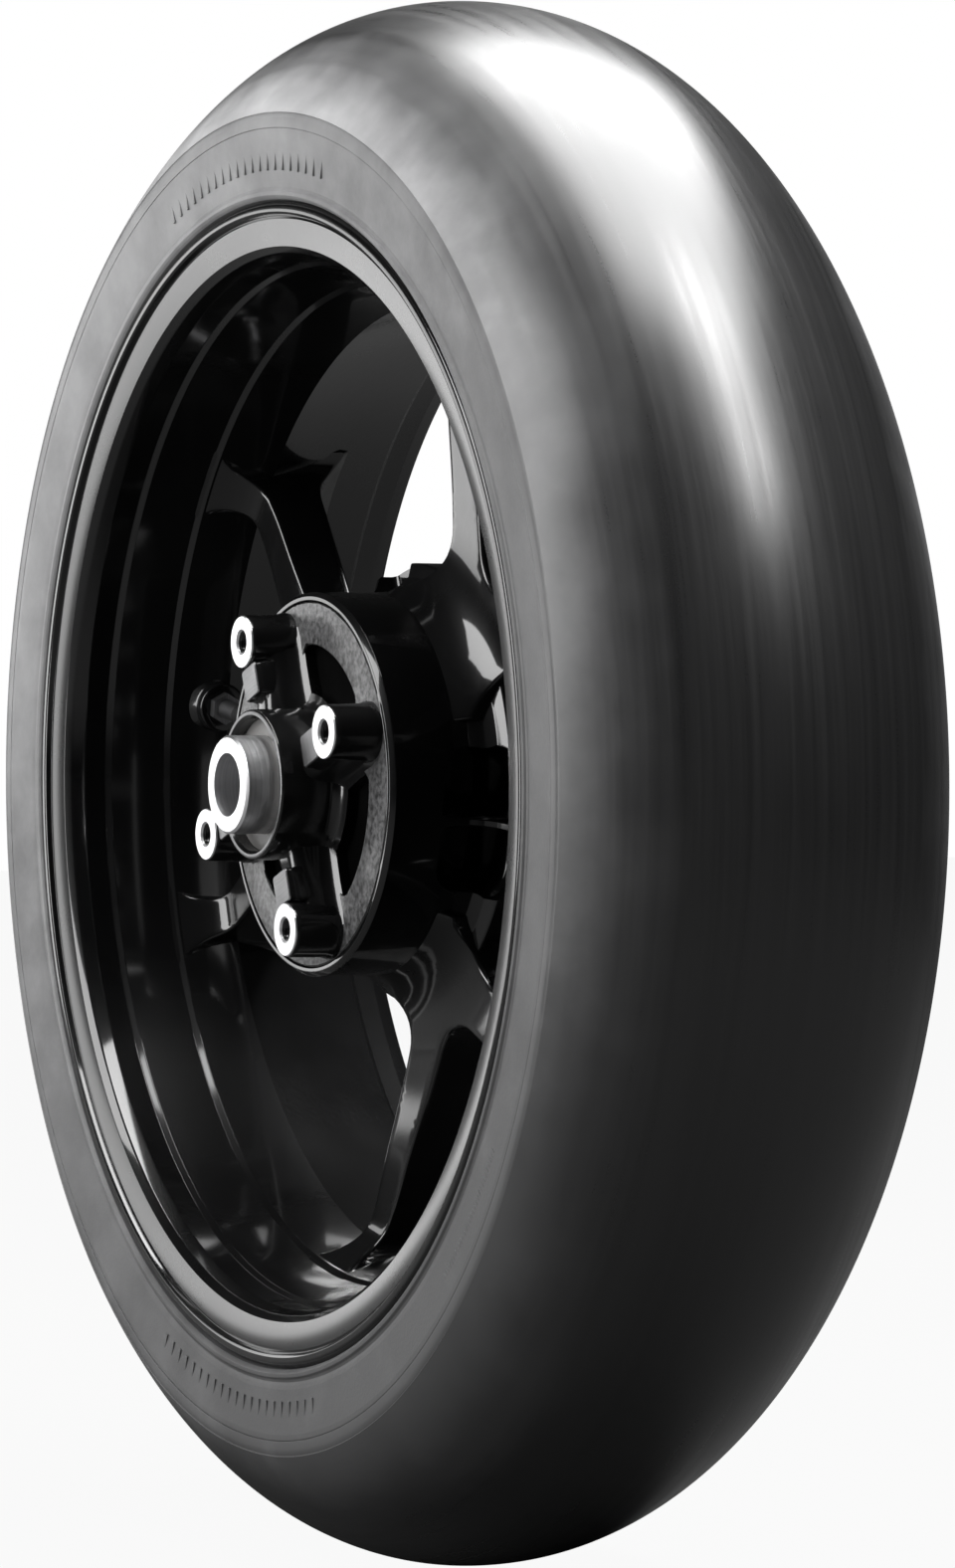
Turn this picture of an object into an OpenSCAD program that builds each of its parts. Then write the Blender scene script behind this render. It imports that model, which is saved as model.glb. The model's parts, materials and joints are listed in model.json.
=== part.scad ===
// Motorcycle rear wheel with a slick radial tyre, a cushioned sprocket carrier and its bearings.
// Millimetres. The axle runs along Y through the origin, which lies in the wheel's middle plane.
// Helper profiles are [radius, h], where h is the distance from the middle plane towards the
// sprocket side. The sprocket side faces -Y.

/* [Tyre] */
// Outer diameter over the crown of the tread
tyre_od = 618.8; // [600:0.1:760]
// Radius of the circle on which the tread section is centred
section_centre_r = 175.7; // [160:0.1:190]
// Half width of the full tread section before the sidewalls cut it
section_half_w = 101.2; // [96:0.1:125]
// Power of the section curve, where 2 is an ellipse
section_power = 2.08; // [1.9:0.01:2.6]
// Thickness of the tread rubber
tread_t = 8.5; // [5:0.1:12]
// Thickness of the belt plies
belt_t = 1.8; // [1.2:0.1:3]
// Thickness of the carcass ply
carcass_t = 1.8; // [1.2:0.1:2.2]
// Thickness of the inner liner
liner_t = 1.2; // [0.8:0.1:2]
// Radius at which the tread starts to round over into the sidewall
shoulder_round_r = 262; // [259:0.5:266]
// Radius of the line where tread and sidewall meet
shoulder_r = 256; // [252:0.5:258]
// How far the sidewall line sits inside the edge of the tread
shoulder_drop = 1.2; // [0.5:0.1:2]
// Fall of the sidewall face from the shoulder line to the fitment rib
sidewall_fall = 0.8; // [0:0.1:3]
// Radius of the fitment rib beside the rim
rib_r = 231; // [230:0.1:232]
// Height of the fitment rib above the rim flange face
rib_h = 1.2; // [0.6:0.1:2]
// Radius of a bead core
bead_core_r = 3.2; // [2.4:0.1:3.4]
// Radius to which the bead filler reaches
filler_tip_r = 244; // [238:0.5:248]

/* [Rim] */
// Half of the width between the rim flanges, 5.5 inch rim
rim_half_w = 69.85; // [64:0.05:76]
// Radius of the bead seat, 17 inch rim
seat_r = 218.3; // [218:0.1:218.6]
// Thickness of a rim flange
flange_t = 6.15; // [4:0.05:8]
// Outer radius of a rim flange
flange_r = 228.15; // [227:0.05:229]
// Inner radius of the bevelled lip
lip_r = 210.5; // [208:0.1:212]
// Distance of the lip's inner edge from the middle plane
lip_h = 72.1; // [70:0.1:73]
// Smallest inner radius of the barrel
barrel_r = 192; // [188:0.1:193]
// Radius of the well floor on the tyre side
well_r = 198; // [196:0.1:200]
// Height of the steps along the inside of the barrel
barrel_step = 0.8; // [0.3:0.1:1.2]

/* [Spokes] */
// Number of spoke pairs
pair_count = 3; // [3:1:3]
// Direction of the middle of the first wide window, from +X towards +Z
window_angle = 109; // [100:0.5:118]
// Angle between a leg and the middle line of the wide window beside it
leg_angle = 17; // [14:0.5:20]
// Distance from the axle to the middle line of a leg
leg_offset = 45.2; // [40:0.1:50]
// Width of a leg's front face at the rim
leg_w = 14.65; // [11:0.05:18]
// Added width of a leg's back half
leg_flare = 4; // [0:0.5:8]
// Distance from the hub flange to where the two legs of a pair would meet in a sharp corner
crotch_gap = 7; // [5:0.5:14]
// Fillet of the window corners near the hub
hub_fillet = 22; // [14:0.5:24]
// Fillet of the window corners near the rim
rim_fillet = 9; // [6:0.5:14]
// Distance of a leg's front face from the middle plane
leg_front = 9.4; // [6:0.1:12]
// Distance of a leg's back face from the middle plane
leg_back = 15.5; // [12:0.1:20]

/* [Hub] */
// Width of the drum outside the sprocket pillars
drum_margin = 5; // [4:0.1:8]
// Distance of the drum's open end from the middle plane
drum_h = 53.2; // [50:0.1:58]
// Wall of the drum
drum_wall = 6; // [4:0.1:8]
// Width of the flange from which the spokes grow
hub_flange_w = 12; // [10:0.5:14]
// Radius of the core tube behind the drum
core_r = 42; // [38:0.5:46]
// Depth at which the drum's floor lies, from the middle plane
floor_h = 33.5; // [33:0.5:36]
// Distance of the lightening pockets' near edge from the middle plane
pocket_h = 30.5; // [28:0.5:30.5]
// Width of the lightening pockets along the axle
pocket_w = 28.5; // [24:0.5:30]
// Half angle of each lightening pocket in the drum's side
pocket_half_angle = 22; // [14:0.5:26]
// Corner radius of a lightening pocket
pocket_corner = 10; // [6:0.5:12]
// Width of the rib across each pocket
pocket_rib = 5; // [3:0.5:8]
// Distance of the brake disc face from the middle plane
disc_face_h = 56; // [54:0.5:62]
// Outer radius of the brake disc face
disc_face_r = 62; // [60:0.5:68]
// Bolt circle diameter of the brake disc
disc_pcd = 104; // [96:1:108]
// Number of brake disc bolts
disc_bolts = 5; // [3:1:6]
// Radius of a tapped brake disc hole
disc_hole_r = 3.4; // [2.5:0.05:4.25]
// Depth of a tapped brake disc hole
disc_hole_depth = 16; // [10:0.5:20]

/* [Sprocket carrier] */
// Bolt circle diameter of the sprocket
sprocket_pcd = 120; // [112:1:124]
// Number of sprocket bolts and of carrier arms
arm_count = 4; // [4:1:4]
// Direction of the first arm, from +X towards +Z
arm_angle = 19.7; // [10:0.1:30]
// Distance of the sprocket seats from the middle plane
seat_face_h = 72.7; // [70:0.1:76]
// Radius of a sprocket seat
seat_face_r = 8.75; // [8:0.05:9.5]
// Radius of a tapped sprocket hole
sprocket_hole_r = 4.25; // [3.4:0.05:5.1]
// Depth of a tapped sprocket hole
sprocket_hole_depth = 22; // [16:0.5:24]
// Radius of a pillar at its foot
pillar_r = 11; // [10:0.1:12]
// Width of an arm
arm_w = 17; // [12:0.5:19]
// Distance of the top of an arm from the middle plane
arm_h = 68.5; // [64:0.1:70]
// Distance from the centre boss to the machined pilot pads
pad_gap = 7.5; // [5:0.5:9]
// Length of a pilot pad
pad_l = 13; // [8:0.5:14]
// Distance of the pilot pads from the middle plane
pad_h = 71.6; // [70:0.1:72]
// Width of a pilot pad
pad_w = 13; // [8:0.5:14]
// Thickness of the carrier plate
plate_t = 7.2; // [6:0.1:9]
// Depth of the windows between the arms
recess_depth = 5.2; // [3:0.1:5.5]
// Distance from the centre boss to the windows between the arms
recess_gap = 4.5; // [3:0.5:6]
// Width of the windows between the arms
recess_w = 21; // [14:0.5:22]
// Wall of the centre boss
boss_wall = 3.5; // [2.8:0.1:6]
// Distance of the end of the centre boss from the middle plane
boss_h = 78; // [76:0.1:80]
// Gap between the carrier plate and the drum's lip
carrier_gap = 0.5; // [0.3:0.1:1]
// Thickness of a vane, and of the drum's ribs between the rubbers
vane_w = 10; // [6:0.5:14]
// Gap round each cush rubber
cush_gap = 0.3; // [0.2:0.05:0.5]

/* [Axle line] */
// Radius of the axle
axle_r = 12.5; // [12.5:0.5:12.5]
// Outer radius of a bearing
bearing_r = 26; // [26:0.5:26]
// Width of a bearing
bearing_w = 15; // [15:0.5:15]
// Radius of the circle through the ball centres
pitch_r = 19.25; // [19.25:0.05:19.25]
// Radius of a ball
ball_r = 3.97; // [3.9:0.01:4]
// Number of balls in a bearing
ball_count = 9; // [7:1:9]
// Running gap between a ball and its grooves
ball_gap = 0.05; // [0.03:0.01:0.08]
// Outer radius of the axle spacers
spacer_r = 19.35; // [18:0.05:20]
// Distance of the sprocket side spacer's end from the middle plane
spacer_left_h = 88.06; // [86:0.01:96]
// Distance of the disc side spacer's end from the middle plane
spacer_right_h = 75; // [70:0.5:86]
// Outer radius of the distance tubes
tube_r = 16; // [15:0.1:16.5]
// Width of a grease seal
seal_w = 6; // [5:0.5:7]
// Running gap between a seal and its spacer
seal_gap = 0.08; // [0.04:0.01:0.1]
// Thickness of the bearing circlip
circlip_t = 1.5; // [1.2:0.1:1.8]

/* [Valve] */
// Direction of the valve, from +X towards +Z
valve_angle = 170; // [160:0.5:180]
// Distance of the valve from the middle plane
valve_h = 8; // [4:0.5:12]
// Radius of the boss round the valve hole
valve_boss_r = 10.5; // [9:0.1:12]
// Distance of the boss face from the axle
valve_boss_face = 188; // [186:0.5:190]
// Radius of the valve hole
valve_hole_r = 4.15; // [4.15:0.05:5.7]
// Length of the stem inside the boss face
valve_stem_len = 31; // [24:0.5:36]

/* [Hidden] */

round_fn = 180;
small_fn = 48;
curve_steps = 26;
cut = 1;

// Rim flange tip and bead seat
lip_c_r = flange_r - flange_t / 2;
lip_c_h = rim_half_w + flange_t / 2;
flange_face = rim_half_w + flange_t;
toe_r = seat_r - 1.25;
toe_h = rim_half_w - 17.85;
bead_gap = 0.05;

// Bead core and the ply that wraps it
core_c_r = seat_r + bead_core_r + 3;
core_c_h = rim_half_w - 8.85;
nest_r = bead_core_r + 0.1;
wrap_r = nest_r + carcass_t;

// Depths below the tread surface at which the layers start
belt_d = tread_t;
carcass_d = belt_d + belt_t;
liner_d = carcass_d + carcass_t;
air_d = liner_d + liner_t;

// Radii that follow from the sizes above
drum_r = sprocket_pcd / 2 + pillar_r + drum_margin;
hub_flange_r = drum_r + hub_flange_w;
crotch_r = hub_flange_r + crotch_gap;
boss_r = bearing_r + boss_wall;

// Places along the axle line
bearing_left_h = floor_h - 2 - bearing_w;
bearing_right_h = -disc_face_h + seal_w;
boss_root_h = drum_h - plate_t;
bearing_carrier_h = boss_root_h + 1;
bearing_shoulder_r = 22.5;
seal_left_h = boss_h - seal_w - 5.5;
carrier_face_h = drum_h - 0.2;

// Cush drive
cush_in_r = boss_r + 3.5;
cush_out_r = drum_r - drum_wall;
cush_top = boss_root_h - carrier_gap;
vane_bottom = floor_h + 1.5;
lip_bore_r = drum_r - 3.4;

// ---- curves -------------------------------------------------------------------------------

// Angle at which the section curve, set in by d, reaches radius r
function stop_angle(d, r) =
    acos(pow((r - section_centre_r) / (tyre_od / 2 - d - section_centre_r), section_power / 2));

// Point of the section curve, set in by d, at angle t from the crown
function crown_point(d, t) = [
    section_centre_r + (tyre_od / 2 - d - section_centre_r) * pow(cos(t), 2 / section_power),
    sign(t) * (section_half_w - d) * pow(sin(abs(t)), 2 / section_power)
];

// Section curve, set in by d, from shoulder radius r on the sprocket side to the other shoulder
function crown(d, r) = let (a = stop_angle(d, r))
    [for (i = [-curve_steps:curve_steps]) crown_point(d, -a * i / curve_steps)];

// Distance from the middle plane of the section curve, set in by d, at radius r
function crown_h(d, r) = crown_point(d, stop_angle(d, r))[1];

function reversed(p) = [for (i = [len(p) - 1:-1:0]) p[i]];
function mirrored(p) = [for (q = reversed(p)) [q[0], -q[1]]];
function arc(c_r, c_h, r, a0, a1, n) =
    [for (i = [0:n]) let (a = a0 + (a1 - a0) * i / n) [c_r + r * cos(a), c_h + r * sin(a)]];
function along(a, b, r) = a[1] + (b[1] - a[1]) * (r - a[0]) / (b[0] - a[0]);

// Rim surface under the tyre's bead, raised by g: flange tip, flange, heel, seat, toe
function bead_path(g) = concat(
    arc(lip_c_r, lip_c_h, flange_t / 2 + g, 60, -90, 10),
    [[seat_r + 3.2, rim_half_w - g],
     [seat_r + 1 + g, rim_half_w - 0.65 - g],
     [seat_r + g, rim_half_w - 3.85],
     [toe_r + g, toe_h]]
);

// Point at distance r from the middle of the bead core, at angle a from the outward radius
function round_core(r, a) = [core_c_r + r * cos(a), core_c_h + r * sin(a)];

sidewall_h = crown_h(0, shoulder_round_r) - shoulder_drop;

// Angle round the bead core at which the ply from the shoulder touches its nest
ply_top = [shoulder_r, crown_h(carcass_d, shoulder_r)];
ply_run = ply_top - [core_c_r, core_c_h];
ply_leave = 360 + atan2(ply_run[1], ply_run[0]) - acos(nest_r / norm(ply_run));

// Lines between the layers below the shoulder, from the shoulder to the bead
ply_out = [ply_top, round_core(nest_r, ply_leave)];
liner_side = [[toe_r + 2.8, toe_h + 1.2], round_core(wrap_r, ply_leave)];
liner_in = [round_core(wrap_r + liner_t, ply_leave), [toe_r + 1.6, toe_h]];
turnup = [[filler_tip_r + 3.5, along(ply_out[0], ply_out[1], filler_tip_r + 3.5)],
          [filler_tip_r, along(ply_out[0], ply_out[1], filler_tip_r) + carcass_t]];
wrap = arc(core_c_r, core_c_h, wrap_r, 90, ply_leave, 14);
nest = arc(core_c_r, core_c_h, nest_r, 90, ply_leave, 14);
filler_tip = [filler_tip_r, along(ply_out[0], ply_out[1], filler_tip_r)];

// Inside of the barrel from the lip to the middle plane, with its turned steps
step_at = [[lip_r - 5.8, lip_h - 18.6], [barrel_r + 6.3, 28.8]];
barrel_flat = 4;
function stepped(p) = [[p[0] + barrel_step / 2, p[1] + barrel_step],
                       [p[0] - barrel_step / 2, p[1] - barrel_step / 4]];
barrel_in = concat(stepped(step_at[0]), stepped(step_at[1]), [[barrel_r, barrel_flat]]);

// Inner radius of the barrel beside the spokes, at distance h from the middle plane
function barrel_at(h) = let (p = barrel_in[3], q = barrel_in[4])
    q[0] + (p[0] - q[0]) * (abs(h) - q[1]) / (p[1] - q[1]);

// ---- helpers ------------------------------------------------------------------------------

module about_axle() rotate([90, 0, 0]) children();

module turned(points, fn = round_fn) about_axle() rotate_extrude($fn = fn) polygon(points);

module ring(r_in, r_out, h0, h1, fn = 96) about_axle() translate([0, 0, h0]) difference() {
    cylinder(r = r_out, h = h1 - h0, $fn = fn);
    translate([0, 0, -cut]) cylinder(r = r_in, h = h1 - h0 + 2 * cut, $fn = fn);
}

module groove(r, h, groove_r) about_axle() translate([0, 0, h])
    rotate_extrude($fn = 96) translate([r, 0]) circle(r = groove_r, $fn = small_fn);

// Radius of the flat seat round the valve hole on the tyre side
well_seat_r = well_r - 0.5;

// Places children so that their +Z points from the rim towards the axle, along the valve
module at_valve(r) rotate([0, -valve_angle, 0]) translate([r, -valve_h, 0])
    rotate([0, -90, 0]) children();

// ---- tyre ---------------------------------------------------------------------------------

module tread_band() color("#1d1d1f")
    turned(concat([[shoulder_r, sidewall_h]], crown(0, shoulder_round_r),
                  [[shoulder_r, -sidewall_h]], reversed(crown(belt_d, shoulder_r))));

module belt_plies() color("#8a8d90")
    turned(concat(crown(belt_d, shoulder_r), reversed(crown(carcass_d, shoulder_r))));

// Path of the ply's outer face round one bead, from the toe side up to the end of the turn-up
function turnup_side() = concat(reversed(wrap), reversed(turnup));
function nest_outline() = concat([filler_tip], nest);

module carcass_ply() color("#b08d57") difference() {
    turned(concat(turnup_side(), crown(carcass_d, shoulder_r), mirrored(turnup_side()),
                  reversed(crown(liner_d, shoulder_r))));
    turned(nest_outline());
    turned(mirrored(nest_outline()));
}

module inner_liner() color("#2c2c2e")
    turned(concat(liner_side, crown(liner_d, shoulder_r), mirrored(liner_side),
                  mirrored(liner_in), reversed(crown(air_d, shoulder_r)), liner_in));

function sidewall_outline() = concat(
    [[shoulder_r, sidewall_h],
     [rib_r + 3.5, sidewall_h - sidewall_fall],
     [rib_r + 2.2, flange_face + 0.2],
     [rib_r + 0.7, flange_face + rib_h],
     [rib_r - 0.9, flange_face + rib_h],
     [rib_r - 2.4, flange_face + 0.9],
     [lip_c_r + 2.2, flange_face + 0.5]],
    bead_path(bead_gap),
    [liner_in[1], liner_side[0]],
    turnup_side(),
    [ply_out[0]]
);

module sidewall_sprocket_side() color("#6f7173") turned(sidewall_outline());
module sidewall_disc_side() color("#6f7173") turned(mirrored(sidewall_outline()));

module bead_core(side) color("#b9bcc0") groove(core_c_r, side * core_c_h, bead_core_r);
module bead_core_sprocket_side() bead_core(1);
module bead_core_disc_side() bead_core(-1);

filler_outline = concat([filler_tip], arc(core_c_r, core_c_h, nest_r, 90, ply_leave - 360, 12));
module bead_filler_sprocket_side() color("#3a3a3c") turned(filler_outline);
module bead_filler_disc_side() color("#3a3a3c") turned(mirrored(filler_outline));

// ---- cast wheel ---------------------------------------------------------------------------

// One half of the rim section on the tyre side, from the flange to the well
function rim_outer_half() = concat(
    [[lip_r, lip_h], [lip_r + 10.7, flange_face - 2.3], [flange_r - 5.8, flange_face - 2.6],
     [flange_r - 5.2, flange_face - 0.6], [flange_r - 4.2, flange_face]],
    arc(lip_c_r, lip_c_h, flange_t / 2, 90, 68, 2),
    bead_path(0),
    [[toe_r + 0.2, toe_h - 1], [toe_r + 1.4, toe_h - 3], [toe_r + 1.2, toe_h - 6],
     [toe_r - 9, toe_h - 14], [well_r + 6.2, toe_h - 22], [well_r + 0.6, 12], [well_r, 8]]
);

module rim_barrel() color("#161617") difference() {
    union() {
        turned(concat(rim_outer_half(), mirrored(rim_outer_half()),
                      reversed(mirrored(barrel_in)), reversed(barrel_in)));
        at_valve(well_seat_r - cut)
            cylinder(r = valve_boss_r, h = well_seat_r - cut - valve_boss_face, $fn = small_fn);
    }
    at_valve(well_r + valve_cut_rise) rotate_extrude($fn = small_fn) polygon([
        [0, 0], [valve_boss_r - cut, 0], [valve_boss_r - cut, well_r + valve_cut_rise - well_seat_r],
        [valve_hole_r, well_r + valve_cut_rise - well_seat_r],
        [valve_hole_r, well_r + valve_cut_rise - valve_boss_face + cut],
        [0, well_r + valve_cut_rise - valve_boss_face + cut]]);
}
// How far above the well the cutter for the valve's seat starts
valve_cut_rise = 8;

// Section of the spoke ring, from the hub flange to the barrel
leg_root_h = 22.2;
hub_flange_front = 8;
hub_flange_back = 18;
spoke_section = concat(
    [[hub_flange_r, hub_flange_front], [hub_flange_r + 12, leg_front - 3.6],
     [barrel_r - 10, leg_front - 0.4], [barrel_r - 4.5, leg_front + 2.6],
     [barrel_r - 0.5, leg_front + 7.6], [barrel_at(leg_root_h), leg_root_h]],
    [[barrel_r, barrel_flat], [barrel_r, -barrel_flat], [barrel_at(leg_root_h), -leg_root_h]],
    [[barrel_r - 0.5, -leg_back - 3.5], [barrel_r - 4.5, -leg_back - 1.2],
     [barrel_r - 10, -leg_back], [hub_flange_r + 12, -leg_back - 0.5],
     [hub_flange_r, -hub_flange_back]]
);

// Wedge with its sharp corner at radius apex_r, opening away from the axle
module wedge(apex_r, half_angle) let (far = 6 * barrel_r) polygon([
    [apex_r, 0], [apex_r + far * cos(half_angle), far * sin(half_angle)],
    [apex_r + far * cos(half_angle), -far * sin(half_angle)]]);

function unit(v) = v / norm(v);
function polar(r, a) = r * [cos(a), sin(a)];
function turn(a) = a > 180 ? a - 360 : a < -180 ? a + 360 : a;

// Arc of radius r in the corner at b between a and c, or the sharp corner where r is 0
function corner(a, b, c, r) = r == 0 ? [b] :
    let (u = unit(a - b), v = unit(c - b), half = acos(u * v) / 2,
         m = b + unit(u + v) * r / sin(half), s = b + u * r / tan(half) - m,
         e = b + v * r / tan(half) - m, a0 = atan2(s[1], s[0]),
         sweep = turn(atan2(e[1], e[0]) - a0))
    [for (k = [0:fillet_steps]) m + polar(r, a0 + sweep * k / fillet_steps)];
fillet_steps = 12;

// Closed outline through the points p, each corner rounded by its own radius in r
function rounded_outline(p, r) = let (n = len(p))
    [for (i = [0:n - 1], q = corner(p[(i + n - 1) % n], p[i], p[(i + 1) % n], r[i])) q];

// Angles, from a window's middle line, at which its edges reach radius r
function wide_edge(r, grow) = leg_angle + asin((leg_offset - leg_w / 2 - grow) / r);
function crotch_edge(r, grow) = 180 / pair_count - leg_angle
    - asin((leg_offset + leg_w / 2 + grow) / r);

window_r = barrel_r + 5.4;

// Window between two pairs: its near side lies inside the hub flange
function wide_outline(grow) =
    let (h = hub_flange_r - 0.5, a = wide_edge(h, grow), b = wide_edge(window_r, grow))
    rounded_outline([[h * 0.9, 0], polar(h, -a), polar(window_r, -b), [window_r / cos(b), 0],
                     polar(window_r, b), polar(h, a)],
                    [0, hub_fillet, rim_fillet, 0, rim_fillet, hub_fillet]);

// Window between the two legs of a pair
function crotch_outline(grow) = let (b = crotch_edge(window_r, grow))
    rounded_outline([[crotch_r + 1.3 * grow, 0], polar(window_r, -b), [window_r / cos(b), 0],
                     polar(window_r, b)],
                    [hub_fillet, rim_fillet, 0, rim_fillet]);

module spoke_pair(i) color("#161617") rotate([0, -window_angle - (i + 0.5) * 360 / pair_count, 0])
    difference() {
        intersection() {
            turned(spoke_section);
            about_axle() translate([0, 0, -40]) linear_extrude(height = 80)
                wedge(0.5, 180 / pair_count);
        }
        for (slab = [[-3, 60, 0], [-60, 57.5, leg_flare / 2]])
            about_axle() translate([0, 0, slab[0]]) {
                linear_extrude(height = slab[1]) polygon(crotch_outline(slab[2]));
                for (side = [-1, 1]) rotate(side * 180 / pair_count)
                    linear_extrude(height = slab[1]) polygon(wide_outline(slab[2]));
            }
    }
module spoke_pair_1() spoke_pair(0);
module spoke_pair_2() spoke_pair(1);
module spoke_pair_3() spoke_pair(2);

hub_section = [
    [bearing_shoulder_r, bearing_left_h], [bearing_r, bearing_left_h], [bearing_r, floor_h],
    [cush_out_r, floor_h], [cush_out_r, boss_root_h - 0.5], [lip_bore_r, boss_root_h - 0.5],
    [lip_bore_r, drum_h], [drum_r - 1.8, drum_h], [drum_r, drum_h - 1.8],
    [drum_r, 24], [drum_r + 1.5, 16.5], [drum_r + 5.5, 10.8],
    [hub_flange_r, hub_flange_front], [hub_flange_r, -hub_flange_back], [drum_r + 3, -21],
    [drum_r - 6, -27], [core_r + 6, -33],
    [core_r + 4, -disc_face_h + 14], [disc_face_r, -disc_face_h + 9],
    [disc_face_r, -disc_face_h], [bearing_r, -disc_face_h],
    [bearing_r, bearing_right_h + bearing_w], [bearing_shoulder_r, bearing_right_h + bearing_w]
];

// Rectangle with round corners, w along the first axis and l along the second
module rounded(w, l, r) {
    square([w - 2 * r, l], center = true);
    square([w, l - 2 * r], center = true);
    for (x = [-1, 1], y = [-1, 1]) translate([x * (w / 2 - r), y * (l / 2 - r)])
        circle(r = r, $fn = small_fn);
}

// Rounded opening cut radially into the drum's side, towards +X
module side_pocket() difference() {
    about_axle() intersection() {
        translate([0, 0, pocket_h - pocket_w]) difference() {
            cylinder(r = hub_flange_r + 10, h = pocket_w, $fn = round_fn);
            translate([0, 0, -cut]) cylinder(r = core_r, h = pocket_w + 2 * cut, $fn = round_fn);
        }
        rotate([0, 90, 0]) linear_extrude(height = hub_flange_r + 20)
            translate([-pocket_h + pocket_w / 2, 0])
                rounded(pocket_w, 2 * drum_r * sin(pocket_half_angle), pocket_corner);
    }
    translate([core_r - cut, -hub_flange_r, -pocket_rib / 2])
        cube([hub_flange_r, 2 * hub_flange_r, pocket_rib]);
}

module hub_shell() color("#161617") difference() {
    union() {
        turned(hub_section);
        for (i = [0:arm_count - 1]) rotate([0, -arm_angle - (i + 0.5) * 360 / arm_count, 0])
            translate([cush_in_r, -cush_top, -vane_w / 2])
                cube([cush_out_r - cush_in_r + 2, cush_top - floor_h + cut, vane_w]);
    }
    for (i = [0:pair_count - 1]) rotate([0, -window_angle - i * 360 / pair_count, 0])
        side_pocket();
    for (i = [0:disc_bolts - 1]) rotate([0, -i * 360 / disc_bolts, 0]) about_axle()
        translate([disc_pcd / 2, 0, -disc_face_h - cut])
            cylinder(r = disc_hole_r, h = disc_hole_depth + cut, $fn = small_fn);
}

// ---- cush drive and sprocket carrier --------------------------------------------------------

// Rubbers between each carrier vane and the drum's ribs on both sides of it
module cush_rubbers() color("#2a2a2c") {
    half = 90 / arm_count;
    set_back = (vane_w / 2 + cush_gap) / sin(half);
    for (i = [0:2 * arm_count - 1]) intersection() {
        ring(cush_in_r + cush_gap, cush_out_r - cush_gap, floor_h + cush_gap,
             cush_top - cush_gap);
        about_axle() linear_extrude(height = drum_h)
            rotate(arm_angle + (2 * i + 1) * half) wedge(set_back, half);
    }
}

carrier_r = lip_bore_r - 0.4;
carrier_section = [
    [bearing_shoulder_r, boss_root_h - 6], [bearing_shoulder_r, bearing_carrier_h],
    [bearing_r, bearing_carrier_h], [bearing_r, boss_h - 0.8], [bearing_r + 0.8, boss_h],
    [boss_r - 0.8, boss_h], [boss_r, boss_h - 0.8], [boss_r, carrier_face_h + 3],
    [boss_r + 3, carrier_face_h], [carrier_r - 0.8, carrier_face_h],
    [carrier_r, carrier_face_h - 0.8], [carrier_r, boss_root_h], [boss_r, boss_root_h],
    [boss_r, boss_root_h - 6]
];

// One arm along +X with its pillar, its sprocket seat and its pilot pad
module carrier_arm() about_axle() {
    pillar_x = sprocket_pcd / 2;
    translate([bearing_r + 2, -arm_w / 2, boss_root_h + 1])
        cube([pillar_x - bearing_r - 2, arm_w, arm_h - boss_root_h - 1]);
    translate([boss_r + pad_gap, -pad_w / 2, arm_h - cut])
        cube([pad_l, pad_w, pad_h - arm_h + cut]);
    translate([pillar_x, 0, boss_root_h + 1])
        cylinder(r = pillar_r, h = arm_h - boss_root_h - 1, $fn = small_fn);
    translate([pillar_x, 0, arm_h])
        cylinder(r1 = pillar_r, r2 = seat_face_r, h = seat_face_h - 0.6 - arm_h, $fn = small_fn);
    translate([pillar_x, 0, arm_h]) cylinder(r = seat_face_r, h = seat_face_h - arm_h, $fn = small_fn);
}

// Window between two arms, towards +X
module carrier_window() intersection() {
    ring(boss_r + recess_gap, boss_r + recess_gap + recess_w, carrier_face_h - recess_depth,
         carrier_face_h + 4);
    about_axle() linear_extrude(height = boss_h)
        wedge((arm_w / 2 + 2) / sin(180 / arm_count), 180 / arm_count);
}

module sprocket_carrier() color("#3b3c3e") difference() {
    union() {
        turned(carrier_section);
        for (i = [0:arm_count - 1]) rotate([0, -arm_angle - i * 360 / arm_count, 0]) {
            carrier_arm();
            translate([boss_r - 2, -boss_root_h - cut, -vane_w / 2])
                cube([cush_out_r - boss_r, boss_root_h + cut - vane_bottom, vane_w]);
        }
    }
    for (i = [0:arm_count - 1]) rotate([0, -arm_angle - (i + 0.5) * 360 / arm_count, 0])
        carrier_window();
    for (i = [0:arm_count - 1]) rotate([0, -arm_angle - i * 360 / arm_count, 0]) about_axle()
        translate([sprocket_pcd / 2, 0, seat_face_h - sprocket_hole_depth])
            cylinder(r = sprocket_hole_r, h = sprocket_hole_depth + cut, $fn = small_fn);
    ring(bearing_r - cut, bearing_r + 1.3, circlip_h - 0.05, circlip_h + circlip_t + 0.05);
    ring(1, bearing_r, bearing_carrier_h, boss_h + cut);
}
circlip_h = bearing_carrier_h + bearing_w + 0.1;

module carrier_circlip() color("#9a9c9e") difference() {
    ring(bearing_r - 2.6, bearing_r + 1.2, circlip_h, circlip_h + circlip_t);
    rotate([0, 62, 0]) translate([bearing_r - 6, -boss_h, -4]) cube([12, boss_h, 8]);
}

module seal(h0) color("#5d4a3f")
    ring(spacer_r + seal_gap, bearing_r - 0.02, h0, h0 + seal_w);
module carrier_seal() seal(seal_left_h);
module disc_side_seal() seal(-disc_face_h);

// ---- bearings -------------------------------------------------------------------------------

module outer_race(h0) color("#b9bcc0") difference() {
    ring(pitch_r + 2.25, bearing_r - 0.01, h0, h0 + bearing_w);
    groove(pitch_r, h0 + bearing_w / 2, ball_r + ball_gap);
}

module inner_race(h0) color("#c4c7ca") difference() {
    ring(axle_r, pitch_r - 2.25, h0, h0 + bearing_w);
    groove(pitch_r, h0 + bearing_w / 2, ball_r + ball_gap);
}

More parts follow.
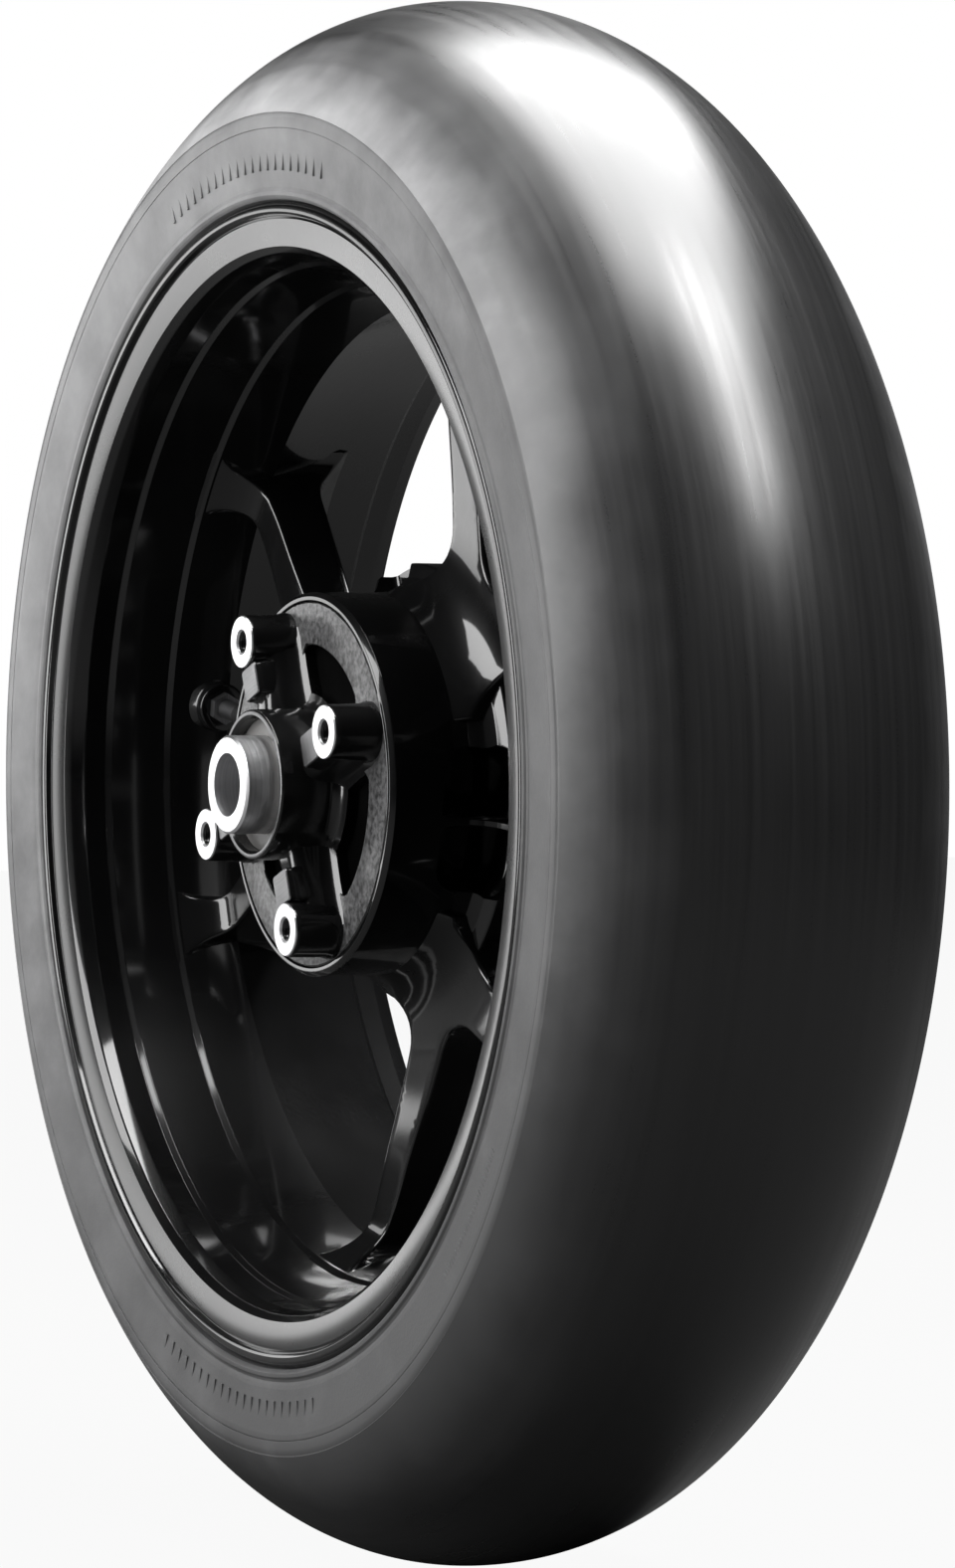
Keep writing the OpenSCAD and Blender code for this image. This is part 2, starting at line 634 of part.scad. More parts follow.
module balls(h0) color("#d8dadc") for (i = [0:ball_count - 1])
    rotate([0, i * 360 / ball_count, 0]) translate([pitch_r, -h0 - bearing_w / 2, 0])
        sphere(r = ball_r, $fn = small_fn);

module cage(h0) color("#a98f4e") difference() {
    ring(pitch_r - 1.5, pitch_r + 1.5, h0 + 2, h0 + bearing_w - 2);
    for (i = [0:ball_count - 1]) rotate([0, i * 360 / ball_count, 0])
        translate([pitch_r - 4, -h0 - bearing_w / 2, 0]) rotate([0, 90, 0])
            cylinder(r = ball_r + 0.2, h = 8, $fn = small_fn);
}

module carrier_outer_race() outer_race(bearing_carrier_h);
module carrier_inner_race() inner_race(bearing_carrier_h);
module carrier_balls() balls(bearing_carrier_h);
module carrier_cage() cage(bearing_carrier_h);
module left_outer_race() outer_race(bearing_left_h);
module left_inner_race() inner_race(bearing_left_h);
module left_balls() balls(bearing_left_h);
module left_cage() cage(bearing_left_h);
module right_outer_race() outer_race(bearing_right_h);
module right_inner_race() inner_race(bearing_right_h);
module right_balls() balls(bearing_right_h);
module right_cage() cage(bearing_right_h);

// ---- axle line ------------------------------------------------------------------------------

module carrier_tube() color("#a5a8ab")
    ring(axle_r, tube_r, bearing_left_h + bearing_w, bearing_carrier_h);
module distance_tube() color("#a5a8ab")
    ring(axle_r, tube_r, bearing_right_h + bearing_w, bearing_left_h);

// Spacer from a bearing's inner race at h0 out to h1, thinner beside the race
function spacer_section(h0, h1, foot) = [
    [axle_r, h0], [tube_r, h0], [tube_r, h0 + foot], [spacer_r, h0 + foot],
    [spacer_r, h1 - 0.9], [spacer_r - 0.9, h1], [axle_r, h1]];

module spacer_sprocket_side() color("#d3d5d7")
    turned(spacer_section(bearing_carrier_h + bearing_w, spacer_left_h, 3), 96);
module spacer_disc_side() color("#d3d5d7") mirror([0, 1, 0])
    turned(spacer_section(-bearing_right_h, spacer_right_h, 1), 96);

// ---- valve ----------------------------------------------------------------------------------

valve_tip_r = valve_boss_face - valve_stem_len;
valve_bore_r = 1.6;
valve_neck_r = 3.85;
valve_neck_len = 12;
grommet_t = 2;
valve_foot_t = 2;
pin_r = 0.7;
cap_wall = 1.1;

module valve_grommet() color("#1c1c1e") at_valve(well_seat_r + grommet_t) difference() {
    cylinder(r = 8, h = grommet_t, $fn = small_fn);
    translate([0, 0, -cut]) cylinder(r = valve_hole_r, h = grommet_t + 2 * cut, $fn = small_fn);
}

module valve_stem() color("#8f9194")
    at_valve(well_seat_r + grommet_t + valve_foot_t) difference() {
        len = well_seat_r + grommet_t + valve_foot_t - valve_tip_r;
        union() {
            cylinder(r = 8, h = valve_foot_t, $fn = small_fn);
            cylinder(r = valve_hole_r - 0.08, h = len - valve_neck_len, $fn = small_fn);
            cylinder(r = valve_neck_r, h = len, $fn = small_fn);
        }
        translate([0, 0, -cut]) cylinder(r = valve_bore_r, h = len + 2 * cut, $fn = small_fn);
    }

module valve_nut() color("#9fa1a4") at_valve(valve_boss_face) difference() {
    cylinder(r = 6.9, h = 4.2, $fn = 6);
    translate([0, 0, -cut]) cylinder(r = valve_hole_r - 0.03, h = 5 + cut, $fn = small_fn);
}

module valve_core_barrel() color("#b99a4b") at_valve(valve_tip_r + 18) difference() {
    cylinder(r = valve_bore_r - 0.03, h = 17, $fn = small_fn);
    translate([0, 0, -cut]) cylinder(r = pin_r + 0.08, h = 17 + 2 * cut, $fn = small_fn);
}

// Pin with the small valve disc at its tyre end
module valve_core_pin() color("#c9b27a") {
    at_valve(valve_tip_r + 18.3) cylinder(r = pin_r, h = 18, $fn = small_fn);
    at_valve(valve_tip_r + 19.8) cylinder(r = valve_bore_r - 0.3, h = 1.5, $fn = small_fn);
}

module valve_cap() color("#111112") at_valve(valve_tip_r + valve_neck_len - 1) difference() {
    cylinder(r = valve_neck_r + 0.08 + cap_wall, h = valve_neck_len + cap_wall, $fn = small_fn);
    translate([0, 0, -cut])
        cylinder(r = valve_neck_r + 0.08, h = valve_neck_len - 0.4 + cut, $fn = small_fn);
}

// ---- what is drawn --------------------------------------------------------------------------

tread_band();
belt_plies();
carcass_ply();
inner_liner();
sidewall_sprocket_side();
sidewall_disc_side();
bead_core_sprocket_side();
bead_core_disc_side();
bead_filler_sprocket_side();
bead_filler_disc_side();
rim_barrel();
spoke_pair_1();
spoke_pair_2();
spoke_pair_3();
hub_shell();
cush_rubbers();
sprocket_carrier();
carrier_circlip();
carrier_seal();
disc_side_seal();
carrier_outer_race();
carrier_inner_race();
carrier_balls();
carrier_cage();
left_outer_race();
left_inner_race();
left_balls();
left_cage();
right_outer_race();
right_inner_race();
right_balls();
right_cage();
carrier_tube();
distance_tube();
spacer_sprocket_side();
spacer_disc_side();
valve_grommet();
valve_stem();
valve_nut();
valve_core_barrel();
valve_core_pin();
valve_cap();
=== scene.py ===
"""Looks of a motorcycle rear wheel: slick tyre, cast wheel, sprocket carrier, bearings and valve.

Lengths are written in millimetres and become metres where a mesh is made. Turned sections are lists
of (radius, h) points, where h is the distance from the middle plane towards the sprocket side, -Y.
"""
import json
import math

import bmesh
import bpy
import numpy as np
from mathutils import Matrix, Vector
from mathutils.geometry import delaunay_2d_cdt


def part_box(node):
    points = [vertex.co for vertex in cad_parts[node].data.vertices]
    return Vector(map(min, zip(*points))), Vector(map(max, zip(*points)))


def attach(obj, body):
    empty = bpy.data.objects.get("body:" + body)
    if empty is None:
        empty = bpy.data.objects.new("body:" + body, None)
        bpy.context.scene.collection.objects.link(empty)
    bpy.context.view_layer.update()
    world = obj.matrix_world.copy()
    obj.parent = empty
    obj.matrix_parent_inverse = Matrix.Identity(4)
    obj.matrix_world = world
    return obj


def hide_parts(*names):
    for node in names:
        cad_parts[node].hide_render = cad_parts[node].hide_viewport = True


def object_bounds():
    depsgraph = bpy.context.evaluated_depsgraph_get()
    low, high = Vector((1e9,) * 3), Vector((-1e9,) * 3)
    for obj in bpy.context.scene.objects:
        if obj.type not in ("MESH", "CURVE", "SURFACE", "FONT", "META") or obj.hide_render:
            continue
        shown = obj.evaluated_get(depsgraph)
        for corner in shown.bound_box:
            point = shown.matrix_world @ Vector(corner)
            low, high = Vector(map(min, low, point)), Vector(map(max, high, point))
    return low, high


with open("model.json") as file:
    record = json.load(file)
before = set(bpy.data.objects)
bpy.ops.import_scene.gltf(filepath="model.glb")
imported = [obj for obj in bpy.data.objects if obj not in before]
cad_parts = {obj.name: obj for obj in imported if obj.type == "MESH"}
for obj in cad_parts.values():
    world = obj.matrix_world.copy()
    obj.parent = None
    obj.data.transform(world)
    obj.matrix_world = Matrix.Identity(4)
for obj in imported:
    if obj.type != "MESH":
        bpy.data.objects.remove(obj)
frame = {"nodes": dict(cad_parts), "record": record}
cad_bounds = [list(map(float, corner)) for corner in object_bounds()]

MM = 0.001
AXLE = Vector((0, 1, 0))


def reach(node):
    """Largest radius of a node about the axle, in mm."""
    low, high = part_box(node)
    return max(-low[0], high[0]) / MM


def centre_of(node):
    """Middle of a node's box, in metres."""
    low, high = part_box(node)
    return (Vector(low) + Vector(high)) / 2


def span(node):
    """A node's extent along the axle as (lowest h, highest h), in mm."""
    low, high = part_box(node)
    return -high[1] / MM, -low[1] / MM


# ---- sizes, in mm ----

# Tyre
TYRE_R = reach("tread_band")
SHOULDER_R = reach("sidewall_sprocket_side")
SHOULDER_ROUND_R = SHOULDER_R + 6
SECTION_CENTRE = 175.7
SECTION_HALF_W = 101.2
SECTION_POWER = 2.08
TREAD_T = 8.5
MARKS_R = 243.0
MARKS_T = 0.9

# Rim
RIM_R = reach("rim_barrel")
RIM_HALF_W = 69.85
SEAT_R = 218.3
FLANGE_T = 6.15
FLANGE_H = RIM_HALF_W + FLANGE_T
LIP_R = 210.5
LIP_OUT_R = 221.2
LIP_H = 72.1
BARREL_R = 192.0
BARREL_FLAT = 4.0
BARREL_STEPS = ((204.7, 53.5), (198.3, 28.8))
STEP_RISE = 1.7
VALVE_BOSS_R, VALVE_HOLE_R, VALVE_FACE = 10.5, 4.15, 188.0

# Hub
HUB_FLANGE_R = reach("hub_shell")
DRUM_H = span("hub_shell")[1]
DRUM_R = 76.0
CORE_R = 42.0
HUB_FACE = 56.0
BEARING_R = 26.0
POCKET_H, POCKET_W, POCKET_HALF, POCKET_CORNER, POCKET_RIB = 30.5, 28.5, 22.0, 10.0, 5.0
DISC_BOLTS, DISC_PCD, DISC_HOLE_R, DISC_HOLE_DEEP = 5, 104.0, 3.4, 16.0
THREAD_PITCH = 1.25
THREAD_DEEP = 0.35

# Spokes
PAIRS = 3
FIRST_PAIR = 169.0
LEG_ANGLE = 17.0
LEG_OFFSET = 45.2
LEG_W = 14.65
LEG_DRAFT = 2.0
LEG_EDGE = 1.6
CROTCH_R = 95.0
WINDOW_R = BARREL_R + 5.4
HUB_FILLET = 22.0
RIM_FILLET = 9.0
FINE_R = 177

# Sprocket carrier
ARMS = 4
FIRST_ARM = 19.7
SPROCKET_R = 60.0
PLATE_R = reach("sprocket_carrier")
PLATE_H = 53.0
PLATE_BACK = 45.8
WINDOW_IN, WINDOW_OUT, WINDOW_DEEP = 34.5, 55.0, 5.2
PILLAR_R = 11.0
SEAT_H, SEAT_FACE_R, SEAT_HOLE, SEAT_HOLE_DEEP = 72.7, 10.1, 4.25, 22.0
BOSS_H = span("sprocket_carrier")[1]
BOSS_R = 29.5
ARM_TOP = 68.5
ARM_BACK = 47.0
ARM_ROUND = 5.5
PAD_TOP = 71.6

# Finishes of the carrier's faces, by number
CARRIER_FINISHES = ("carrier_paint", "seat_alloy", "cast_shadow", "ring_paint", "pad_alloy")
PAINT, SEAT, SHADOW, RING, PAD = range(len(CARRIER_FINISHES))


# ---- outlines ----

def polar(radius, degrees):
    """Point at a radius and a direction from +X towards +Z."""
    angle = math.radians(degrees)
    return np.array((radius * math.cos(angle), radius * math.sin(angle)))


def corner(a, b, c, radius, steps):
    """Points of the arc of a radius in the corner at b between a and c."""
    if radius == 0:
        return [b]
    u = (a - b) / np.linalg.norm(a - b)
    v = (c - b) / np.linalg.norm(c - b)
    half = math.acos(float(np.clip(u @ v, -1, 1))) / 2
    middle = b + (u + v) / np.linalg.norm(u + v) * radius / math.sin(half)
    start = b + u * radius / math.tan(half) - middle
    end = b + v * radius / math.tan(half) - middle
    first = math.atan2(start[1], start[0])
    sweep = math.atan2(end[1], end[0]) - first
    sweep = (sweep + math.pi) % (2 * math.pi) - math.pi
    turns = [first + sweep * k / steps for k in range(steps + 1)]
    return [middle + radius * np.array((math.cos(t), math.sin(t))) for t in turns]


def eased(points, radii, steps=5):
    """A closed outline with each corner rounded by its own radius."""
    points = [np.array(p, float) for p in points]
    if not hasattr(radii, "__len__"):
        radii = [radii] * len(points)
    count = len(points)
    out = []
    for i, radius in enumerate(radii):
        out += corner(points[i - 1], points[i], points[(i + 1) % count], radius, steps)
    return out


def flipped(points):
    """The same section on the other side of the middle plane, in reverse order."""
    return [(p[0], -p[1]) for p in reversed(points)]


def turned(points, degrees):
    """(x, z, h) points turned about the axle."""
    cos, sin = polar(1, degrees)
    return [(x * cos - z * sin, x * sin + z * cos, h) for x, z, h in points]


def level(outline, h):
    """An outline's points at a height."""
    return [(*p, h) for p in outline]


def circle(radius, steps):
    """Outline of a circle about the axle."""
    return [polar(radius, 360 * i / steps) for i in range(steps)]


def thread(radius, root, start, pitch, turns):
    """Section of a thread in a hole, from a height on; a negative pitch runs downwards."""
    return [point for i in range(turns) for point in (
        (radius + root, start + i * pitch),
        (radius - THREAD_DEEP, start + i * pitch + pitch / 2))]


def round_over(radius, turns):
    """(inset, drop) of points round an edge, from its top at 0 degrees to its side at 90."""
    return [(radius * (1 - math.sin(math.radians(a))), radius * (1 - math.cos(math.radians(a))))
            for a in turns]


def within(points, ring):
    """Which of the points lie inside a closed ring."""
    x, z = np.asarray(points, float).T[:, :, None]
    (xi, zi), (xj, zj) = np.asarray(ring, float).T, np.roll(ring, 1, axis=0).T
    with np.errstate(divide="ignore", invalid="ignore"):
        crossing = x < (xj - xi) * (z - zi) / (zj - zi) + xi
    return (((zi > z) != (zj > z)) & crossing).sum(axis=1) % 2 == 1


# ---- meshes ----

def as_object(data, name):
    """A mesh, camera or light placed in the scene."""
    piece = bpy.data.objects.new(name, data)
    bpy.context.scene.collection.objects.link(piece)
    return piece


def smooth(mesh, sharp_degrees):
    """Smooth shading with edges over an angle kept sharp."""
    mesh.shade_smooth()
    mesh.set_sharp_from_angle(angle=math.radians(sharp_degrees))


def spun(name, section, steps=256, sharp=35):
    """A closed section turned about the axle."""
    section = np.array([tuple(p) for p in section], float) * MM
    count = len(section)
    turns = np.linspace(0, 2 * math.pi, steps, endpoint=False)
    verts = np.empty((steps, count, 3))
    verts[:, :, 0] = np.cos(turns)[:, None] * section[:, 0]
    verts[:, :, 1] = -section[:, 1]
    verts[:, :, 2] = np.sin(turns)[:, None] * section[:, 0]
    faces = []
    for i in range(steps):
        a, b = i * count, (i + 1) % steps * count
        faces += [(a + j, a + (j + 1) % count, b + (j + 1) % count, b + j) for j in range(count)]
    mesh = bpy.data.meshes.new(name)
    mesh.from_pydata(verts.reshape(-1, 3).tolist(), [], faces)
    outward(mesh)
    smooth(mesh, sharp)
    return as_object(mesh, name)


def outward(mesh):
    """Merges doubles and turns every face outwards."""
    work = bmesh.new()
    work.from_mesh(mesh)
    bmesh.ops.remove_doubles(work, verts=work.verts, dist=1e-6)
    bmesh.ops.recalc_face_normals(work, faces=work.faces)
    work.to_mesh(mesh)
    work.free()


def solid_of(piece):
    """Turns a piece with modifiers into a plain mesh."""
    graph = bpy.context.evaluated_depsgraph_get()
    mesh = bpy.data.meshes.new_from_object(piece.evaluated_get(graph))
    mesh.name = piece.name
    piece.modifiers.clear()
    piece.data = mesh
    return piece


class Shell:
    """Collects points (in x, z, h) and faces with a finish number."""

    def __init__(self):
        self.points, self.faces, self.finish = [], [], []

    def strip(self, rings, finish=0, loop=False):
        """Joins rings of points one to the next, and in a loop the last to the first.

        The finish is one number, or a list with one for each side of a ring.
        """
        base, count = len(self.points), len(rings[0])
        finishes = finish if isinstance(finish, list) else [finish] * count
        for ring in rings:
            self.points += [tuple(p) for p in ring]
        for i in range(len(rings) if loop else len(rings) - 1):
            a, b = base + i * count, base + (i + 1) % len(rings) * count
            for j in range(count):
                k = (j + 1) % count
                self.faces.append((a + j, b + j, b + k, a + k))
            self.finish += finishes

    def lids(self, *rings, finish=0):
        """Closes the ends of a strip, each with one face."""
        for ring in rings:
            base = len(self.points)
            self.points += ring
            self.faces.append(tuple(range(base, base + len(ring))))
            self.finish.append(finish)

    def flat(self, loops, h, finish_of=lambda x, z: 0, flip=False, inner=()):
        """Fills the first loop, less the others, at a height or a function of the point."""
        verts, edges = [], []
        for loop in loops:
            start, count = len(verts), len(loop)
            verts += [Vector((p[0], p[1])) for p in loop]
            edges += [(start + i, start + (i + 1) % count) for i in range(count)]
        verts += [Vector(p) for p in inner]
        flat, _, faces, *_ = delaunay_2d_cdt(verts, edges, [], 1, 1e-7)
        base = len(self.points)
        self.points += [(p[0], p[1], h(p) if callable(h) else h) for p in flat]
        for f in faces:
            x = sum(flat[i][0] for i in f) / len(f)
            z = sum(flat[i][1] for i in f) / len(f)
            if any(within([(x, z)], loop)[0] for loop in loops[1:]):
                continue
            self.faces.append(tuple(base + i for i in (reversed(f) if flip else f)))
            self.finish.append(finish_of(x, z))

    def lathe(self, section, steps, centre=(0, 0), finish_of=lambda r, h: 0):
        """A closed section turned about a line along the axle through a centre."""
        rings = [[(centre[0] + r * cos, centre[1] + r * sin, h) for r, h in section]
                 for cos, sin in circle(1, steps)]
        finishes = [finish_of((p[0] + q[0]) / 2, (p[1] + q[1]) / 2)
                    for p, q in zip(section, section[1:] + section[:1])]
        self.strip(rings, finishes, loop=True)

    def made(self, name, turn=0.0, sharp=35):
        """The collected shape as an object, turned about the axle by some degrees."""
        mesh = bpy.data.meshes.new(name)
        mesh.from_pydata([(x * MM, -h * MM, z * MM) for x, z, h in turned(self.points, turn)],
                         [], self.faces)
        mesh.polygons.foreach_set("material_index", self.finish)
        outward(mesh)
        smooth(mesh, sharp)
        return as_object(mesh, name)


def fit(piece, body, slot, *nodes):
    """Puts a finished piece on the body it rides on and hides the CAD nodes it stands for; slot,
    its finish, is not used.
    """
    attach(piece, body)
    if nodes:
        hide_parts(*nodes)
    return piece


# ---- node helpers ----

class Tree:
    """Short calls for building a node tree."""

    def __init__(self, tree):
        self.tree = tree

    def add(self, kind, *inputs, **settings):
        """A node with its settings and, in order, its inputs."""
        node = self.tree.nodes.new(kind)
        for key, value in settings.items():
            setattr(node, key, value)
        for socket, value in zip(node.inputs, inputs):
            self.put(value, socket)
        return node

    def put(self, value, socket):
        """Links an output to a socket, or sets the socket to a plain value."""
        if value is None:
            return
        if isinstance(value, bpy.types.NodeSocket):
            self.tree.links.new(value, socket)
        else:
            socket.default_value = value

    def math(self, operation, *inputs):
        return self.add("ShaderNodeMath", *inputs, operation=operation).outputs[0]

    def ramp(self, value, stops):
        """A colour from a value, between (place, colour) stops."""
        node = self.add("ShaderNodeValToRGB", value)
        band = node.color_ramp.elements
        while len(band) < len(stops):
            band.new(0.5)
        for element, (place, colour) in zip(band, stops):
            element.position = place
            element.color = (*colour, 1) if len(colour) == 3 else colour
        return node.outputs["Color"]

    def span(self, value, low, high, to_low, to_high):
        """A value's range moved to another range."""
        return self.add("ShaderNodeMapRange", value, low, high, to_low, to_high).outputs[0]

    def place(self):
        """The shaded point, in the scene's metres."""
        return self.add("ShaderNodeTexCoord").outputs["Object"]

    def axes(self):
        """X, Y and Z of the shaded point."""
        return self.add("ShaderNodeSeparateXYZ", self.place()).outputs

    def noise(self, place, scale, detail, rough):
        return self.add("ShaderNodeTexNoise", place, None, scale, detail, rough).outputs[0]

    def bump(self, height, distance, strength=1.0, normal=None):
        """A normal from a height between 0 and 1 that stands for a distance in metres."""
        node = self.add("ShaderNodeBump")
        self.put(height, node.inputs["Height"])
        self.put(distance, node.inputs["Distance"])
        self.put(strength, node.inputs["Strength"])
        self.put(normal, node.inputs["Normal"])
        return node.outputs[0]


def group(name, inputs, outputs):
    """An empty shader group, with its numbers in by name and its numbers and normals out."""
    tree = bpy.data.node_groups.new(name, "ShaderNodeTree")
    for title, default in inputs.items():
        socket = tree.interface.new_socket(title, in_out="INPUT", socket_type="NodeSocketFloat")
        socket.default_value = default
    for title in outputs:
        kind = "NodeSocketVector" if title == "Normal" else "NodeSocketFloat"
        tree.interface.new_socket(title, in_out="OUTPUT", socket_type=kind)
    t = Tree(tree)
    return t, t.add("NodeGroupInput").outputs, t.add("NodeGroupOutput").inputs


def moulded_grain():
    """Fine grain with slow blotches: a roughness, the blotches and a normal."""
    inputs = {"Scale": 900.0, "Depth": 0.0001, "Roughness": 0.5, "Spread": 0.1}
    t, given, out = group("moulded_grain", inputs, ("Roughness", "Blotch", "Normal"))
    place = t.place()
    grain = t.noise(place, given["Scale"], 4.0, 0.6)
    blotch = t.span(t.noise(place, 14.0, 3.0, 0.6), 0.3, 0.7, -1.0, 1.0)
    speck = t.span(grain, 0.3, 0.7, -0.4, 0.4)
    lift = t.math("MULTIPLY", t.math("ADD", blotch, speck), given["Spread"])
    t.put(t.math("ADD", given["Roughness"], lift), out["Roughness"])
    t.put(blotch, out["Blotch"])
    t.put(t.bump(grain, given["Depth"]), out["Normal"])
    return t.tree


def turned_marks():
    """Rings left by a lathe about the axle: a roughness, the rings and a normal."""
    inputs = {"Pitch": 0.0006, "Depth": 0.00001, "Roughness": 0.25, "Spread": 0.1}
    t, given, out = group("turned_marks", inputs, ("Roughness", "Ring", "Normal"))
    x, y, z = t.axes()
    radius = t.math("SQRT", t.math("ADD", t.math("POWER", x, 2.0), t.math("POWER", z, 2.0)))
    across = t.math("ADD", radius, t.math("MULTIPLY", y, 0.73))
    step = t.math("DIVIDE", across, given["Pitch"])
    ring = t.add("ShaderNodeTexNoise", None, step, 1.0, 2.0, 0.7, noise_dimensions="1D").outputs[0]
    cloud = t.noise(t.place(), 60.0, 3.0, 0.6)
    mixed = t.math("ADD", t.span(ring, 0.3, 0.7, -1.0, 1.0), t.span(cloud, 0.3, 0.7, -0.7, 0.7))
    lift = t.math("MULTIPLY", mixed, given["Spread"])
    t.put(t.math("ADD", given["Roughness"], lift), out["Roughness"])
    t.put(ring, out["Ring"])
    t.put(t.bump(ring, given["Depth"]), out["Normal"])
    return t.tree


def handling_dust():
    """Pale rubber dust in patches, plus painted light that rises towards the top and the -X side,
    where the lamps fall on the tyre's sides: a mask.
    """
    t, given, out = group("handling_dust", {"Patchiness": 0.35}, ("Mask",))
    x, _, z = t.axes()
    # Painted light: the lean lightens the colour towards the top and -X, where the lamps fall on
    # the sides.
    lean = t.math("ADD", t.math("MULTIPLY", x, -2.0), t.math("MULTIPLY", z, 2.9))
    cloud = t.noise(t.place(), 26.0, 4.0, 0.62)
    patch = t.math("MULTIPLY", t.span(cloud, 0.3, 0.7, -1.0, 1.0), given["Patchiness"])
    t.put(t.span(t.math("ADD", lean, patch), -0.75, 1.0, 0.0, 1.0), out["Mask"])
    return t.tree


GRAIN = moulded_grain()
MARKS = turned_marks()
DUST_AND_LIGHT = handling_dust()


FINISH = {}


def material(name, **fixed):
    """A Principled material, kept in FINISH; fixed values are set on its sockets."""
    made = FINISH[name] = bpy.data.materials.new(name)
    made.use_nodes = True
    t = Tree(made.node_tree)
    shader = made.node_tree.nodes["Principled BSDF"]
    for title, value in fixed.items():
        shader.inputs[title.replace("_", " ").title().replace("Ior", "IOR")].default_value = value
    return made, t, shader


def effect(t, tree, **values):
    """A shader group placed in a material with its own values."""
    node = t.add("ShaderNodeGroup", node_tree=tree)
    for title, value in values.items():
        t.put(value, node.inputs[title])
    return node.outputs


def surface(t, shader, colour, rough, normal):
    """Connects what changes over a surface."""
    t.put(colour, shader.inputs["Base Color"])
    t.put(rough, shader.inputs["Roughness"])
    t.put(normal, shader.inputs["Normal"])


def rubber(name, dark, light, scale, depth, rough, spread, **fixed):
    """Moulded rubber: two tones mixed by slow blotches."""
    _, t, shader = material(name, **fixed)
    grain = effect(t, GRAIN, Scale=scale, Depth=depth, Roughness=rough, Spread=spread)
    tone = t.ramp(t.span(grain["Blotch"], -1.0, 1.0, 0.0, 1.0), [(0.0, dark), (1.0, light)])
    surface(t, shader, tone, grain["Roughness"], grain["Normal"])


def sidewall_rubber():
    """Moulded rubber under a veil of dust, with painted light lightening its upper -X side."""
    _, t, shader = material("sidewall_rubber")
    grain = effect(t, GRAIN, Scale=700.0, Depth=0.00006, Roughness=0.46, Spread=0.05)
    surface(t, shader, dusted_and_lit(t), grain["Roughness"], grain["Normal"])


def dusted_and_lit(t):
    """Colour of the tyre's sides, from clean rubber to the thickest dust, and lighter towards the
    top and -X side as painted light.
    """
    mask = effect(t, DUST_AND_LIGHT, Patchiness=0.3)["Mask"]
    return t.ramp(mask, [(0.0, (0.06, 0.06, 0.061)), (0.5, (0.12, 0.12, 0.122)),
                         (1.0, (0.27, 0.27, 0.273))])


def tread_rubber():
    """Slick tread: satin, with faint streaks running round the tyre."""
    _, t, shader = material("tread_rubber", specular_ior_level=0.5)
    x, y, z = t.axes()
    lane = t.add("ShaderNodeCombineXYZ", t.math("MULTIPLY", t.math("ARCTAN2", z, x), 1.2),
                 t.math("MULTIPLY", y, 260.0), 0.0).outputs[0]
    streak = t.noise(lane, 1.0, 5.0, 0.6)
    grain = effect(t, GRAIN, Scale=1500.0, Depth=0.00002, Roughness=0.31, Spread=0.03)
    rough = t.math("ADD", grain["Roughness"], t.span(streak, 0.3, 0.7, -0.04, 0.05))
    tone = t.ramp(streak, [(0.3, (0.008, 0.008, 0.0082)), (0.75, (0.012, 0.012, 0.0122))])
    # Towards the shoulders the tread takes the sides' colour: dust, and painted light towards the
    # top and -X side.
    edge = t.math("ADD", t.math("ABSOLUTE", y),
                  t.span(grain["Blotch"], -1.0, 1.0, -0.004, 0.004))
    share = t.ramp(t.span(edge, 0.048, 0.079, 0.0, 1.0),
                   [(0.0, (0, 0, 0)), (0.5, (0.25, 0.25, 0.25)), (1.0, (1, 1, 1))])
    mixed = t.add("ShaderNodeMix", data_type="RGBA")
    t.put(share, mixed.inputs["Factor"])
    t.put(tone, mixed.inputs[6])
    t.put(dusted_and_lit(t), mixed.inputs[7])
    surface(t, shader, mixed.outputs[2], t.math("ADD", rough, t.math("MULTIPLY", share, 0.13)),
            t.bump(streak, 0.00005, 0.12, grain["Normal"]))


def lacquer(name, tone, rough, coat_rough, spread, depth=0.00004):
    """Gloss coat over a cast surface, slightly orange-peeled."""
    _, t, shader = material(name, coat_weight=1.0, coat_roughness=coat_rough,
                            specular_ior_level=0.1)
    grain = effect(t, GRAIN, Scale=260.0, Depth=depth, Roughness=rough, Spread=spread)
    lighter = tuple(c * 1.8 for c in tone)
    colour = t.ramp(t.span(grain["Blotch"], -1.0, 1.0, 0.0, 1.0), [(0.0, tone), (1.0, lighter)])
    surface(t, shader, colour, grain["Roughness"], grain["Normal"])


def cast_ring():
    """Cast ring of the carrier: dull lacquer over a rough, mottled skin."""
    _, t, shader = material("ring_paint", coat_roughness=0.3, specular_ior_level=0.6)
    grain = effect(t, GRAIN, Scale=420.0, Depth=0.00012, Roughness=0.42, Spread=0.08)
    patch = t.noise(t.place(), 380.0, 3.0, 0.65)
    tone = t.ramp(patch, [(0.36, (0.015, 0.015, 0.015)), (0.62, (0.11, 0.11, 0.112))])
    t.put(t.span(patch, 0.35, 0.65, 0.15, 0.45), shader.inputs["Coat Weight"])
    surface(t, shader, tone, grain["Roughness"], grain["Normal"])


def turned_metal(name, dark, light, rough, spread, pitch=0.0006, depth=0.00001):
    """Metal with lathe rings about the axle."""
    _, t, shader = material(name, metallic=1.0)
    marks = effect(t, MARKS, Pitch=pitch, Depth=depth, Roughness=rough, Spread=spread)
    tone = t.ramp(marks["Ring"], [(0.25, dark), (0.75, light)])
    surface(t, shader, tone, marks["Roughness"], marks["Normal"])


